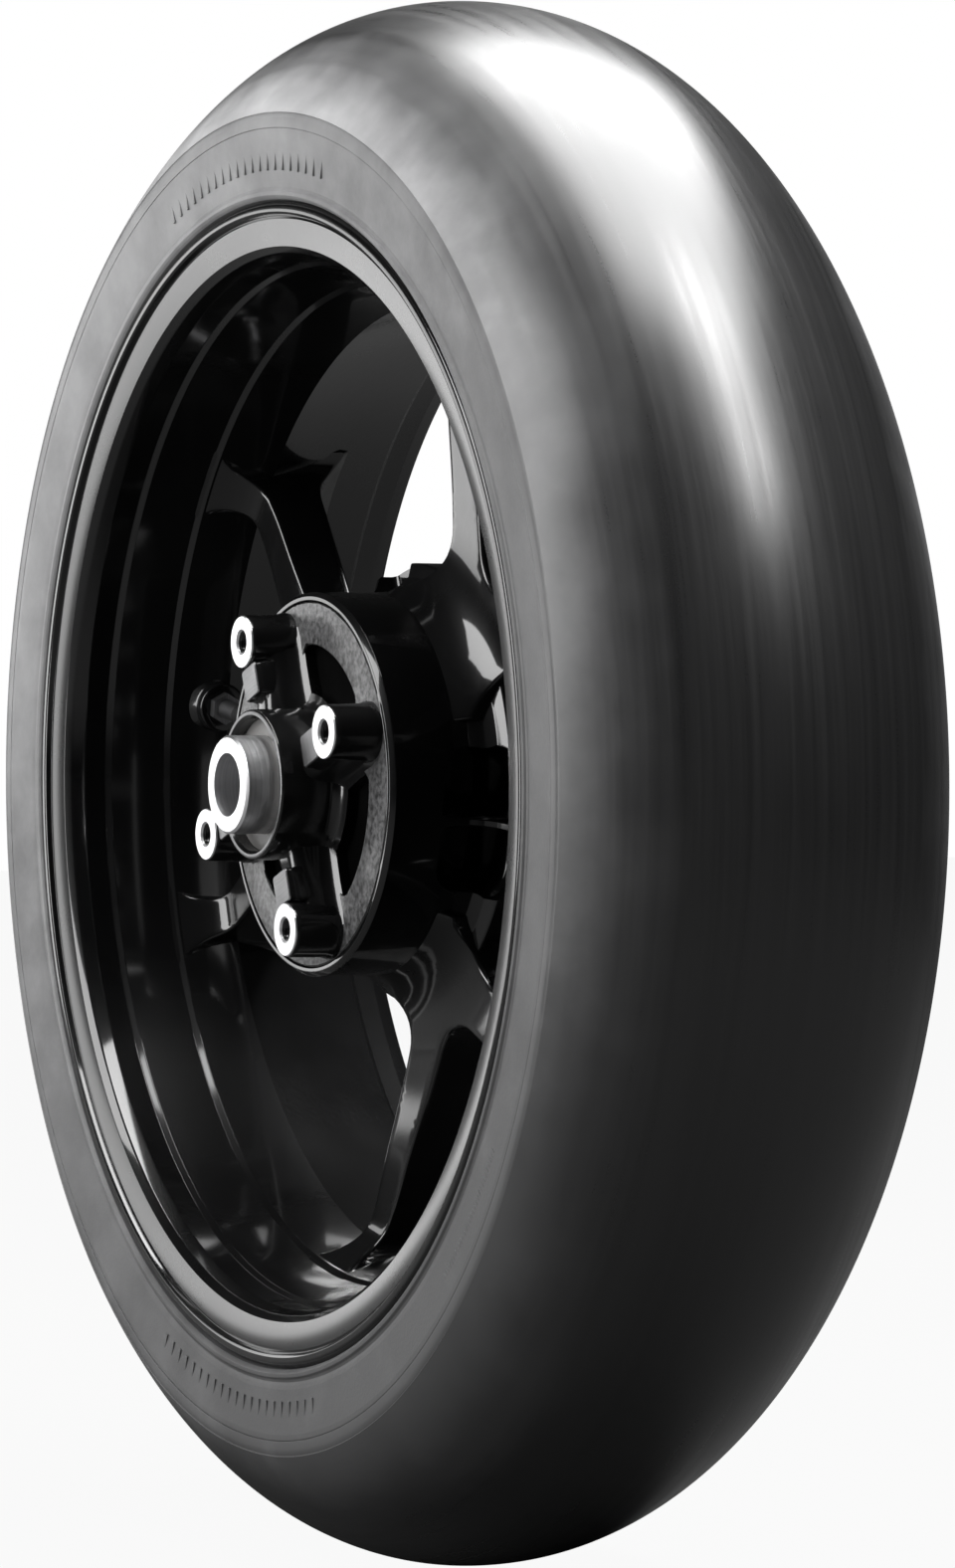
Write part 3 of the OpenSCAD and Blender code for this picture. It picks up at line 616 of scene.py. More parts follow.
def cord_layer(name, dark, light, lean):
    """Cord plies under the tread: parallel cords crossing the tyre at an angle."""
    _, t, shader = material(name)
    x, y, z = t.axes()
    lean = math.radians(lean)
    along = t.math("ADD", t.math("MULTIPLY", t.math("ARCTAN2", z, x), 1200.0 * math.cos(lean)),
                   t.math("MULTIPLY", y, 4000.0 * math.sin(lean)))
    cord = t.span(t.math("SINE", along), -1.0, 1.0, 0.0, 1.0)
    surface(t, shader, t.ramp(cord, [(0.2, dark), (0.8, light)]),
            t.span(cord, 0.0, 1.0, 0.8, 0.6), t.bump(cord, 0.0003))


tread_rubber()
sidewall_rubber()
rubber("inner_rubber", (0.012, 0.012, 0.012), (0.03, 0.03, 0.03), 500.0, 0.0001, 0.7, 0.08)
rubber("seal_rubber", (0.10, 0.098, 0.095), (0.2, 0.195, 0.19), 800.0, 0.00005, 0.45, 0.08)
rubber("cap_plastic", (0.01, 0.01, 0.01), (0.02, 0.02, 0.02), 600.0, 0.00004, 0.4, 0.06)
lacquer("wheel_paint", (0.002, 0.002, 0.0021), 0.32, 0.07, 0.05)
lacquer("carrier_paint", (0.004, 0.004, 0.0041), 0.3, 0.1, 0.05)
cast_ring()
turned_metal("pad_alloy", (0.16, 0.16, 0.163), (0.3, 0.3, 0.305), 0.4, 0.08)
turned_metal("seat_alloy", (0.78, 0.78, 0.79), (0.93, 0.93, 0.94), 0.34, 0.05)
lacquer("lip_paint", (0.006, 0.006, 0.0062), 0.3, 0.12, 0.05, 0.00001)
rubber("cast_shadow", (0.001, 0.001, 0.001), (0.004, 0.004, 0.004), 500.0, 0.0001, 0.9, 0.05,
       specular_ior_level=0.0)
turned_metal("spacer_steel", (0.72, 0.72, 0.73), (0.9, 0.9, 0.91), 0.36, 0.06)
turned_metal("tube_steel", (0.4, 0.4, 0.41), (0.55, 0.55, 0.56), 0.35, 0.08)
turned_metal("bearing_steel", (0.6, 0.6, 0.62), (0.75, 0.75, 0.77), 0.14, 0.04)
turned_metal("spring_steel", (0.2, 0.2, 0.21), (0.3, 0.3, 0.31), 0.35, 0.06)
turned_metal("bead_wire", (0.5, 0.45, 0.36), (0.66, 0.6, 0.48), 0.35, 0.1)
turned_metal("cage_brass", (0.5, 0.36, 0.14), (0.68, 0.5, 0.22), 0.3, 0.08)
turned_metal("valve_metal", (0.2, 0.2, 0.2), (0.32, 0.32, 0.33), 0.35, 0.06, pitch=0.0004)
turned_metal("valve_brass", (0.55, 0.42, 0.16), (0.7, 0.55, 0.24), 0.3, 0.08)
cord_layer("belt_cord", (0.05, 0.05, 0.05), (0.4, 0.37, 0.3), 8)
cord_layer("ply_cord", (0.08, 0.06, 0.04), (0.5, 0.42, 0.3), 88)


def paint(piece, *finishes):
    """Gives a new mesh its finishes, in the order of its face numbers."""
    for finish in finishes:
        piece.data.materials.append(FINISH[finish])
    return piece


# ---- tyre ----

def section_at(depth, angle):
    """Point of the tread section, set in by a depth, at an angle in radians from the crown."""
    rise = TYRE_R - depth - SECTION_CENTRE
    return (SECTION_CENTRE + rise * math.cos(angle) ** (2 / SECTION_POWER),
            math.copysign((SECTION_HALF_W - depth) * abs(math.sin(angle)) ** (2 / SECTION_POWER),
                          angle))


def section_curve(depth, radius, steps):
    """Tread section from the shoulder at a radius on one side to the other."""
    share = (radius - SECTION_CENTRE) / (TYRE_R - depth - SECTION_CENTRE)
    stop = math.acos(share ** (SECTION_POWER / 2))
    return [section_at(depth, stop * (1 - 2 * i / steps)) for i in range(steps + 1)]


def slick_tread():
    """Tread band, with the square lip that ends its outer face at each shoulder."""
    outer = section_curve(0, SHOULDER_ROUND_R, 120)
    inner = section_curve(TREAD_T, SHOULDER_R, 40)
    edge_r, edge_h = outer[0]
    lip = eased([(edge_r + 8, edge_h - 4), (edge_r - 1.6, edge_h + 0.15),
                 (SHOULDER_R, edge_h + 0.1), inner[0]], [0, 6.0, 0.12, 0])[1:-1]
    section = lip[::-1] + outer + flipped(lip[::-1]) + inner[::-1]
    tread = spun("slick_tread", section, steps=400, sharp=40)
    return fit(paint(tread, "tread_rubber"), "wheel", "tread_rubber", "tread_band")


def sidewall_face():
    """Outer face of a sidewall from the shoulder line in to the rim flange, as (r, h)."""
    edge = section_curve(0, SHOULDER_ROUND_R, 2)[0][1] + 0.1
    return [(SHOULDER_R, edge - 0.05), (255.2, edge - 0.1), (253.6, edge - 0.2),
            (MARKS_R, edge - 1.6), (236.2, edge - 2.4), (234.6, edge - 2.7),
            (233.4, FLANGE_H + 0.1), (232.4, FLANGE_H + 0.4), (231.6, FLANGE_H + 1.2),
            (230.1, FLANGE_H + 1.2), (229.2, FLANGE_H + 0.5), (228.5, FLANGE_H - 0.4)]


def sidewall(side, name, node):
    """A sidewall with its bead; side is 1 on the sprocket side and -1 on the other."""
    face = sidewall_face()
    low = RIM_HALF_W - 0.3
    back = [(228.3, 73.0), (226.0, low), (221.5, low), (219.4, low - 0.8), (218.45, 66.0),
            (217.15, 52.0), (218.7, 52.0), (226.6, 56.2), (SHOULDER_R, 70.4)]
    section = eased(face + back, [0.4, 0.5, 0.6, 0, 1.0, 0.5, 0.3, 0.3, 0.4, 0.4, 0.3, 0.4]
                    + [0.8, 0.8, 0, 0, 0, 0, 0, 0, 0], steps=3)
    piece = spun(name, section if side > 0 else flipped(section), steps=320, sharp=38)
    return fit(paint(piece, "sidewall_rubber"), "wheel", "sidewall_rubber", node)


def rib_mesh(length, width, height):
    """A small rounded bar, long along X and standing out along -Y."""
    mesh = bpy.data.meshes.new("rib")
    work = bmesh.new()
    bmesh.ops.create_cube(work, size=1)
    bmesh.ops.scale(work, vec=(length * MM, height * MM, width * MM), verts=work.verts)
    bmesh.ops.bevel(work, geom=work.edges[:], offset=0.3 * height * MM, segments=2, profile=0.5,
                    affect="EDGES")
    work.to_mesh(mesh)
    work.free()
    return as_object(mesh, "rib")


def rib_arc_nodes():
    """Geometry nodes: copies of a rib along an arc about the axle."""
    tree = bpy.data.node_groups.new("rib_arc", "GeometryNodeTree")
    face = tree.interface
    face.new_socket("Geometry", in_out="INPUT", socket_type="NodeSocketGeometry")
    for title, kind in (("Rib", "NodeSocketObject"), ("Count", "NodeSocketInt"),
                        ("Radius", "NodeSocketFloat"), ("Height", "NodeSocketFloat"),
                        ("Start", "NodeSocketFloat"), ("Step", "NodeSocketFloat"),
                        ("Finish", "NodeSocketMaterial")):
        face.new_socket(title, in_out="INPUT", socket_type=kind)
    face.new_socket("Geometry", in_out="OUTPUT", socket_type="NodeSocketGeometry")
    t = Tree(tree)
    given = t.add("NodeGroupInput").outputs
    number = t.add("GeometryNodeInputIndex").outputs[0]
    angle = t.math("ADD", given["Start"], t.math("MULTIPLY", number, given["Step"]))
    place = t.add("ShaderNodeCombineXYZ",
                  t.math("MULTIPLY", t.math("COSINE", angle), given["Radius"]), given["Height"],
                  t.math("MULTIPLY", t.math("SINE", angle), given["Radius"])).outputs[0]
    points = t.add("GeometryNodePoints")
    t.put(given["Count"], points.inputs["Count"])
    t.put(place, points.inputs["Position"])
    shape = t.add("GeometryNodeObjectInfo")
    t.put(given["Rib"], shape.inputs["Object"])
    turn = t.add("ShaderNodeCombineXYZ", 0.0, t.math("MULTIPLY", angle, -1.0), 0.0).outputs[0]
    copies = t.add("GeometryNodeInstanceOnPoints")
    t.put(points.outputs[0], copies.inputs["Points"])
    t.put(shape.outputs["Geometry"], copies.inputs["Instance"])
    t.put(turn, copies.inputs["Rotation"])
    real = t.add("GeometryNodeRealizeInstances", copies.outputs[0])
    painted = t.add("GeometryNodeSetMaterial")
    t.put(real.outputs[0], painted.inputs["Geometry"])
    t.put(given["Finish"], painted.inputs["Material"])
    t.add("NodeGroupOutput", painted.outputs[0])
    return tree


def rib_arc(tree, name, side, count, radius, middle, step, length, width):
    """One arc of ribs on a sidewall, all in one mesh."""
    rib = rib_mesh(length, width, MARKS_T)
    host = as_object(bpy.data.meshes.new(name), name)
    face = dict(sidewall_face())[MARKS_R]
    values = {"Rib": rib, "Count": count, "Radius": radius * MM,
              "Height": -side * (face + 0.05) * MM,
              "Start": math.radians(middle - step * (count - 1) / 2),
              "Step": math.radians(step), "Finish": FINISH["sidewall_rubber"]}
    maker = host.modifiers.new("ribs", "NODES")
    maker.node_group = tree
    for item in tree.interface.items_tree:
        if item.in_out == "INPUT" and item.name in values:
            maker[item.identifier] = values[item.name]
    solid_of(host)
    bpy.data.objects.remove(rib)
    smooth(host.data, 40)
    return fit(host, "wheel", "sidewall_rubber")


def sidewall_ribs():
    """Grip marks moulded on the sidewalls: two wide arcs and three fine rows on each side."""
    tree = rib_arc_nodes()
    for side, title in ((1, "sprocket"), (-1, "disc")):
        for name, count, radius, middle, step, length, width in (
                ("upper_marks", 21, 245.2, 91, 1.7, 11.0, 1.5),
                ("lower_marks", 21, 245.2, 266, 1.7, 9.0, 1.5),
                ("left_row", 46, 249.5, 203, 0.5, 2.6, 0.7),
                ("right_row", 38, 250.0, 356, 0.5, 2.4, 0.7),
                ("low_right_row", 30, 245.5, 321, 0.5, 3.4, 0.7)):
            rib_arc(tree, f"{name}_{title}_side", side, count, radius, middle, step, length, width)


# ---- cast wheel ----

def barrel_half():
    """Half of the rim's section: out from the middle plane inside, and back on the tyre side."""
    inside = [(BARREL_R, BARREL_FLAT)]
    for radius, h in reversed(BARREL_STEPS):
        inside += [(radius - STEP_RISE / 2, h - 0.7), (radius + STEP_RISE / 2, h + 1.3)]
    inside += [(206.4, 64.0), (207.9, 69.6)]
    face = [(LIP_R, LIP_H), (LIP_OUT_R, FLANGE_H - 2.3), (222.3, FLANGE_H - 2.7),
            (222.9, FLANGE_H - 0.5), (223.9, FLANGE_H), (226.4, FLANGE_H),
            (RIM_R, FLANGE_H - 2.4), (RIM_R, RIM_HALF_W + 2.2), (226.0, RIM_HALF_W)]
    outside = [(221.5, RIM_HALF_W), (219.3, 69.2), (SEAT_R, 66.0), (217.05, 52.0), (218.4, 49.0),
               (218.2, 46.0), (208.0, 38.0), (204.2, 30.0), (198.6, 12.0), (198.0, 8.0)]
    points = inside + face + outside
    radii = [0, 0.9, 0.9, 1.1, 1.1, 6.0, 2.5, 0.6, 0.25, 0.25, 0.4, 0.6, 1.8, 1.8, 1.0]
    return points, radii + [0] * (len(points) - len(radii))


def rim():
    """Barrel with painted lips, and the boss round the valve hole.

    On the disc side a plain cone stands for the flat and the first step's inner corner, and each
    corner has the rounding of the corner two places before it.
    """
    near, radii = barrel_half()
    section = eased(near + flipped(near[2:]), radii + radii[-3::-1], steps=4)
    piece = spun("rim_barrel_finish", section, steps=384, sharp=24)
    paint(piece, "wheel_paint", "lip_paint")
    for face in piece.data.polygons:
        x, y, z = face.center / MM
        radius = math.hypot(x, z)
        if LIP_R + 0.2 < radius < LIP_OUT_R + 0.1 and abs(abs(y) - LIP_H) < 1.9:
            face.material_index = 1
    boss = eased([(VALVE_HOLE_R, VALVE_FACE), (VALVE_BOSS_R, VALVE_FACE),
                  (VALVE_BOSS_R, 192.6), (VALVE_BOSS_R + 2.4, 195.4), (VALVE_HOLE_R, 195.4)],
                 [0.5, 1.0, 2.0, 0, 0], steps=4)
    seat = paint(along_valve("valve_boss_finish", boss), "wheel_paint")
    fit(seat, "wheel", "wheel_paint")
    return fit(piece, "wheel", "wheel_paint", "rim_barrel")


def along_valve(name, section):
    """A section of (width, radius from the axle) turned about the line of the valve."""
    middle = centre_of("valve_cap")
    out = Vector((middle.x, 0, middle.z)).normalized()
    shell = Shell()
    shell.lathe(section, 48)
    piece = shell.made(name)
    turn = Matrix((out.cross(AXLE), -out, AXLE)).transposed().to_4x4()
    piece.data.transform(Matrix.Translation((0, middle.y, 0)) @ turn)
    outward(piece.data)
    return piece


def leg_edges(grow):
    """Corner-rounded window outlines beside one pair, in the pair's own frame along +X."""
    def wide(radius):
        return LEG_ANGLE + math.degrees(math.asin((LEG_OFFSET - LEG_W / 2 - grow) / radius))

    def inner(radius):
        return 60 - LEG_ANGLE - math.degrees(math.asin((LEG_OFFSET + LEG_W / 2 + grow) / radius))

    near = HUB_FLANGE_R - 0.5
    a, b = 60 - wide(near), 60 - wide(WINDOW_R)
    wide_side = [polar(near * 0.9, 60), polar(near, a), polar(WINDOW_R, b),
                 polar(WINDOW_R / math.cos(math.radians(wide(WINDOW_R))), 60)]
    side = (corner(*wide_side[:3], HUB_FILLET, 12) + corner(*wide_side[1:], RIM_FILLET, 10))
    c = inner(WINDOW_R)
    roof = polar(WINDOW_R / math.cos(math.radians(c)), 0)
    tip = np.array((CROTCH_R + 1.3 * grow, 0.0))
    shoulder = corner(roof, polar(WINDOW_R, c), tip, RIM_FILLET, 10)
    apex = corner(polar(WINDOW_R, c), tip, polar(WINDOW_R, -c), HUB_FILLET, 12)
    return side, shoulder, apex


def pair_corners(grow):
    """Outline of a pair of legs, counter-clockwise, with its roots inside the drum and barrel."""
    side, shoulder, apex = leg_edges(grow)
    mirror = np.array((1, -1))
    half = [apex[len(apex) // 2]] + apex[:len(apex) // 2][::-1] + shoulder[::-1]
    half += [polar(WINDOW_R + 2.5, math.degrees(math.atan2(p[1], p[0])))
             for p in (half[-1], side[-1])]
    half += side[::-1]
    half += [polar(DRUM_R - 3, math.degrees(math.atan2(side[0][1], side[0][0])) * s)
             for s in (0.99, 0.66, 0.33)]
    return half + [polar(DRUM_R - 3, 0)] + [p * mirror for p in half[:0:-1]]


def pair_outline(grow):
    """The same outline with points along its straight runs, closer together near the rim."""
    points, plain = pair_corners(grow), pair_corners(0)
    out = []
    for i, start in enumerate(points):
        a, b = plain[i], plain[(i + 1) % len(plain)]
        near_rim = max(np.hypot(*a), np.hypot(*b)) > 180
        parts = max(1, math.ceil(float(np.linalg.norm(b - a)) / (2.0 if near_rim else 3.5)))
        stop = points[(i + 1) % len(points)]
        out += [start + (stop - start) * k / parts for k in range(parts)]
    return out


def soft(knots):
    """A smooth curve through (x, y) knots, as a function of x."""
    xs, ys = np.array(knots, float).T
    steps = np.diff(ys) / np.diff(xs)
    slopes = np.concatenate(([steps[0]], (steps[:-1] + steps[1:]) / 2, [steps[-1]]))
    flat = np.sign(steps[:-1]) != np.sign(steps[1:])
    slopes[1:-1][flat] = 0

    def value(x):
        k = int(np.clip(np.searchsorted(xs, x) - 1, 0, len(xs) - 2))
        width = xs[k + 1] - xs[k]
        t = float(np.clip((x - xs[k]) / width, 0, 1))
        return float(ys[k] * (1 + 2 * t) * (1 - t) ** 2 + ys[k + 1] * t * t * (3 - 2 * t)
                     + width * t * (1 - t) * (slopes[k] * (1 - t) - slopes[k + 1] * t))
    return value


FRONT_LINE = soft([(70, 34), (74, 28), (78, 22), (82, 16.6), (87, 11.8), (93, 8.6), (102, 6.8),
                   (115, 6.5), (150, 7.8), (176, 8.8), (183, 10.0), (188, 13.2), (192, 18.4),
                   (196, 25), (200, 32)])
BACK_LINE = soft([(70, -23), (78, -20), (88, -17.6), (100, -16), (176, -15.5), (184, -16.2),
                  (189, -18.6), (193, -22.6), (200, -32)])


def front_h(point):
    """Height of the legs' front face at a point of the pair's own frame."""
    return FRONT_LINE(float(np.hypot(*point)))


def back_h(point):
    """Height of the legs' back face."""
    return BACK_LINE(float(np.hypot(*point)))


def leg_levels():
    """(grow, share from front to back, offset in h) of each ring, from the front face down."""
    turns = [0, 22.5, 45, 67.5, 90]
    front = [(-inset, 0, -drop) for inset, drop in round_over(LEG_EDGE, turns)]
    middle = [(LEG_DRAFT * s, s, 0) for s in (0.2, 0.4, 0.6, 0.8)]
    back = [(LEG_DRAFT - inset, 1, drop) for inset, drop in round_over(LEG_EDGE, turns[::-1])]
    return front + middle + back


def leg_face(shell, outline, height, flip=False):
    """Fills an outline of a pair of legs, with inner points so that the face can curve."""
    ring = np.array(outline)
    low, high = ring.min(axis=0), ring.max(axis=0)
    inner = []
    for step, near, far in ((3.0, 0, FINE_R), (1.5, FINE_R, TYRE_R)):
        grid = np.stack(np.meshgrid(np.arange(low[0], high[0], step),
                                    np.arange(low[1], high[1], step)), -1).reshape(-1, 2)
        radius = np.hypot(*grid.T)
        grid = grid[(radius > near) & (radius <= far)]
        grid = grid[within(grid, ring)]
        gap = np.min(np.linalg.norm(grid[:, None] - ring[None], axis=2), axis=1)
        inner += list(grid[gap > 0.5 * step])
    shell.flat([outline], height, flip=flip, inner=inner)


def spoke_pair(index):
    """Two legs that leave the hub together and part towards the rim."""
    turn = FIRST_PAIR + index * 360 / PAIRS
    shell = Shell()
    shell.strip([[(*p, front_h(p) * (1 - share) + back_h(p) * share + offset)
                  for p in pair_outline(grow)] for grow, share, offset in leg_levels()])
    leg_face(shell, pair_outline(-LEG_EDGE), front_h)
    leg_face(shell, pair_outline(LEG_DRAFT - LEG_EDGE), back_h, flip=True)
    piece = shell.made(f"spoke_pair_{index + 1}_finish", turn, sharp=40)
    return fit(paint(piece, "wheel_paint"), "wheel", "wheel_paint", pair_node(turn))


def pair_node(turn):
    """Name of the CAD spoke pair that lies in a direction."""
    cos, sin = polar(1, turn)

    def lies(name):
        middle = centre_of(name)
        return middle.x * cos + middle.z * sin

    return max((f"spoke_pair_{i + 1}" for i in range(PAIRS)), key=lies)


def hub():
    """Drum and core of the hub, with pockets in its side and threaded holes for the disc."""
    points = [(22.5, 16.5), (BEARING_R, 16.5), (BEARING_R, 33.5), (70, 33.5), (70, 45.5),
              (72.6, 45.5),
              (72.6, DRUM_H), (74.2, DRUM_H), (DRUM_R, DRUM_H - 1.8), (DRUM_R, 26),
              (76.6, 19.5), (79, 14), (82.5, 10.4), (HUB_FLANGE_R, 8), (HUB_FLANGE_R, -18),
              (79, -21), (70, -27), (48, -33), (46, -42), (62, -47), (62, -HUB_FACE),
              (27, -HUB_FACE), (BEARING_R, -55), (BEARING_R, -35), (22.5, -35)]
    radii = [0, 0, 0, 1, 0, 0, 0.3, 0.4, 0.8, 6, 3, 2, 2, 1.6, 1.6, 3, 4, 6, 3, 2, 1.2, 0.4, 0.3,
             0, 0]
    piece = spun("hub_shell_finish", eased(points, radii, steps=5), steps=288)
    for index in range(PAIRS):
        cut_away(piece, side_pocket(FIRST_PAIR - 60 + 360 / PAIRS * index))
    for index in range(DISC_BOLTS):
        cut_away(piece, disc_hole(360 / DISC_BOLTS * index))
    smooth(piece.data, 35)
    return fit(paint(piece, "wheel_paint"), "wheel", "wheel_paint", "hub_shell")


def cut_away(piece, tool):
    """Subtracts a tool from a piece and removes the tool."""
    cutter = piece.modifiers.new("cut", "BOOLEAN")
    cutter.operation = "DIFFERENCE"
    cutter.solver = "EXACT"
    cutter.object = tool
    solid_of(piece)
    old = tool.data
    bpy.data.objects.remove(tool)
    bpy.data.meshes.remove(old)


def side_pocket(direction):
    """Tool for the two cells of one pocket, on both sides of its rib."""
    wide = DRUM_R * math.sin(math.radians(POCKET_HALF))
    middle = POCKET_H - POCKET_W / 2
    shell = Shell()
    for side in (1, -1):
        near = POCKET_RIB / 2
        corners = [(near, middle + POCKET_W / 2), (near, middle - POCKET_W / 2),
                   (wide, middle - POCKET_W / 2), (wide, middle + POCKET_W / 2)]
        cell = eased(corners, [2.5, 2.5, POCKET_CORNER, POCKET_CORNER], steps=6)
        rings = []
        for radius, grow in ((CORE_R + 6, -4), (CORE_R + 8, -1.5), (CORE_R + 11, -0.3),
                             (CORE_R + 16, 0), (DRUM_R - 2.5, 0), (DRUM_R - 1.2, 0.3),
                             (DRUM_R - 0.3, 1.0), (DRUM_R + 0.6, 2.0), (HUB_FLANGE_R + 6, 2.0)):
            centre = np.array(((near + wide) / 2, middle))
            ring = []
            for p in cell:
                away = (p - centre) / np.linalg.norm(p - centre)
                q = p + away * grow
                q[0] = max(q[0], near * 0.35) if grow > 0 else q[0]
                ring.append((radius, side * q[0], q[1]))
            rings.append(ring)
        shell.strip(rings)
        shell.lids(rings[0], rings[-1])
    return shell.made("pocket_tool", direction)


def disc_hole(direction):
    """Tool for one threaded hole with a countersink."""
    section = [(0.01, -HUB_FACE - 1), (DISC_HOLE_R + 1.7, -HUB_FACE - 1),
               (DISC_HOLE_R + 0.1, -HUB_FACE + 0.7)]
    section += thread(DISC_HOLE_R, 0.15, -HUB_FACE + 0.9, THREAD_PITCH, 9)
    section += [(DISC_HOLE_R - THREAD_DEEP, -HUB_FACE + DISC_HOLE_DEEP),
                (0.01, -HUB_FACE + DISC_HOLE_DEEP + 2)]
    shell = Shell()
    shell.lathe(section, 32, polar(DISC_PCD / 2, direction))
    return shell.made("hole_tool")


# ---- sprocket carrier ----

def kidney(grow, middle):
    """Outline of a window between two arms, set out by grow, about a direction in degrees."""
    outer, inner = WINDOW_OUT + grow, WINDOW_IN - grow
    wide = 45 - math.degrees(math.asin((PILLAR_R + 1.5 - grow) / outer))
    narrow = 45 - math.degrees(math.asin((10.5 - grow) / inner))
    arc = [polar(outer, middle + wide * t) for t in np.linspace(-1, 1, 13)]
    back = [polar(inner, middle + narrow * t) for t in np.linspace(1, -1, 7)]
    radii = [6.0 + grow] + [0] * 11 + [6.0 + grow, 4.0 + grow] + [0] * 5 + [4.0 + grow]
    return eased(arc + back, radii, steps=6)


def carrier_plate(shell):
    """The disc with its cast ring, its windows and its bore."""
    rounding, quarter = 0.8, (0, 30, 60, 90)
    bore, rim_back = circle(BEARING_R + 0.2, 96), circle(PLATE_R - 0.4, 192)
    edge = [level(circle(PLATE_R - inset, 192), PLATE_H - drop)
            for inset, drop in round_over(rounding, quarter)]
    shell.strip(edge + [level(circle(PLATE_R, 192), PLATE_BACK + 0.4), level(rim_back, PLATE_BACK)])
    windows = []
    bottom = PLATE_H - WINDOW_DEEP
    for k in range(ARMS):
        middle = 360 * (k + 0.5) / ARMS
        lips = [(inset, PLATE_H - drop) for inset, drop in round_over(0.7, quarter)]
        floor = [(0.0, bottom + 1.2), (-0.35, bottom + 0.35), (-1.2, bottom)]
        rings = [level(kidney(grow, middle), h) for grow, h in lips + floor]
        shell.strip(rings[:4])
        shell.strip(rings[3:], finish=SHADOW)
        shell.flat([kidney(-1.2, middle)], bottom, lambda x, z: SHADOW)
        windows.append(kidney(0.7, middle))
    shell.flat([circle(PLATE_R - rounding, 192), bore] + windows, PLATE_H,
               lambda x, z: RING if math.hypot(x, z) > WINDOW_OUT + 0.6 else PAINT)
    shell.strip([level(bore, PLATE_H), level(bore, PLATE_BACK)])
    shell.flat([rim_back, bore], PLATE_BACK, flip=True)


def carrier_arm(shell, direction):
    """A rounded arm from the boss out to a pillar, with feet that run into the plate."""
    rings = []
    for r, half, top in ((20, 9.0, ARM_TOP), (30, 8.7, ARM_TOP), (37, 8.2, ARM_TOP - 0.6),
                         (45, 8.0, ARM_TOP - 2.6), (52, 8.4, ARM_TOP - 2.4),
                         (57, 8.8, ARM_TOP - 1.5), (62, 8.0, ARM_TOP - 1.5)):
        foot = half + ARM_ROUND
        side = [(foot, PLATE_H - 0.6), (half + 3.2, PLATE_H + 0.5),
                (half + 1.6, PLATE_H + 2.0), (half + 0.7, PLATE_H + 4.2)]
        for a in map(math.radians, range(0, 91, 15)):
            side.append((half - ARM_ROUND * (1 - math.cos(a)), top - 7 * (1 - math.sin(a))))
        row = [(-a, h) for a, h in side] + side[::-1] + [(foot, ARM_BACK), (-foot, ARM_BACK)]
        rings.append(turned([(r, t, h) for t, h in row], direction))
    shell.strip(rings)
    shell.lids(rings[0], rings[-1])


def pillar(shell, direction):
    """A round pillar with its machined seat and threaded hole."""
    centre = polar(SPROCKET_R, direction)
    foot = [(PILLAR_R + 4.2, PLATE_H - 0.4), (PILLAR_R + 2.2, PLATE_H + 0.6),
            (PILLAR_R + 0.8, PLATE_H + 2.2), (PILLAR_R + 0.1, PLATE_H + 4.6),
            (PILLAR_R - 0.2, SEAT_H - 2.4), (PILLAR_R - 0.4, SEAT_H - 1.2)]
    seat = [(SEAT_FACE_R + 0.3, SEAT_H - 0.6), (SEAT_FACE_R, SEAT_H), (SEAT_HOLE + 0.9, SEAT_H),
            (SEAT_HOLE + 0.25, SEAT_H - 0.9)]
    threads = thread(SEAT_HOLE, 0.2, SEAT_H - 1.0, -THREAD_PITCH,
                     int(SEAT_HOLE_DEEP / THREAD_PITCH) - 2)
    bottom = [(SEAT_HOLE - 0.4, SEAT_H - SEAT_HOLE_DEEP), (0.01, SEAT_H - SEAT_HOLE_DEEP - 1.5),
              (0.01, 46.4), (PILLAR_R - 1, 46.4), (PILLAR_R + 1, 50.0)]

    def bright(r, h):
        return SEAT if h > SEAT_H - 0.7 and r < SEAT_FACE_R + 0.3 else PAINT

    section = [(min(r, PLATE_R - SPROCKET_R - 0.4), h) if h < PLATE_H + 8 else (r, h)
               for r, h in foot + seat + threads + bottom]
    shell.lathe(section, 48, centre, bright)


def pilot_pad(shell, direction):
    """Machined step on an arm that centres the sprocket."""
    outline = np.array(eased([(36.5, -6.5), (49.6, -6.5), (49.6, 6.5), (36.5, 6.5)], 1.4, steps=4))
    away = outline - np.array((43.0, 0.0))
    away /= np.linalg.norm(away, axis=1)[:, None]
    rings = [turned(level(outline + away * grow, h), direction) for grow, h in (
        (-0.5, PAD_TOP), (0, PAD_TOP - 0.5), (0.2, 68.4), (1.0, 66.6), (1.0, 60.0))]
    shell.strip(rings[:2], finish=PAD)
    shell.strip(rings[1:])
    shell.lids(rings[0], finish=PAD)
    shell.lids(rings[-1])


def carrier_boss(shell):
    """The centre boss around the carrier bearing, with a machined end."""
    section = eased([(BOSS_R + 6.5, PLATE_H - 0.4), (BOSS_R + 0.9, PLATE_H + 1.0),
                     (BOSS_R, BOSS_H), (27.4, BOSS_H), (BEARING_R + 0.2, BOSS_H - 1.2),
                     (BEARING_R + 0.05, 66.0), (BEARING_R + 0.05, 46.0), (BOSS_R + 2, 46.0)],
                    [0, 5.0, 1.2, 0.4, 0.3, 0, 0, 0], steps=6)

    def turned_end(r, h):
        return PAD if h > BOSS_H - 0.2 and r < BOSS_R - 0.4 else PAINT

    shell.lathe(section, 128, finish_of=turned_end)


def carrier_vanes(shell):
    """Drive vanes between the drum's rubbers, tapered so that the wind-up stays clear of them."""
    outline = eased([(34, -3.5), (69, -2.0), (69, 2.0), (34, 3.5)], 1.5, steps=3)
    for k in range(ARMS):
        rings = [turned(level(outline, h), 360 * k / ARMS) for h in (50.0, 34.4)]
        shell.strip(rings)
        shell.lids(*rings)


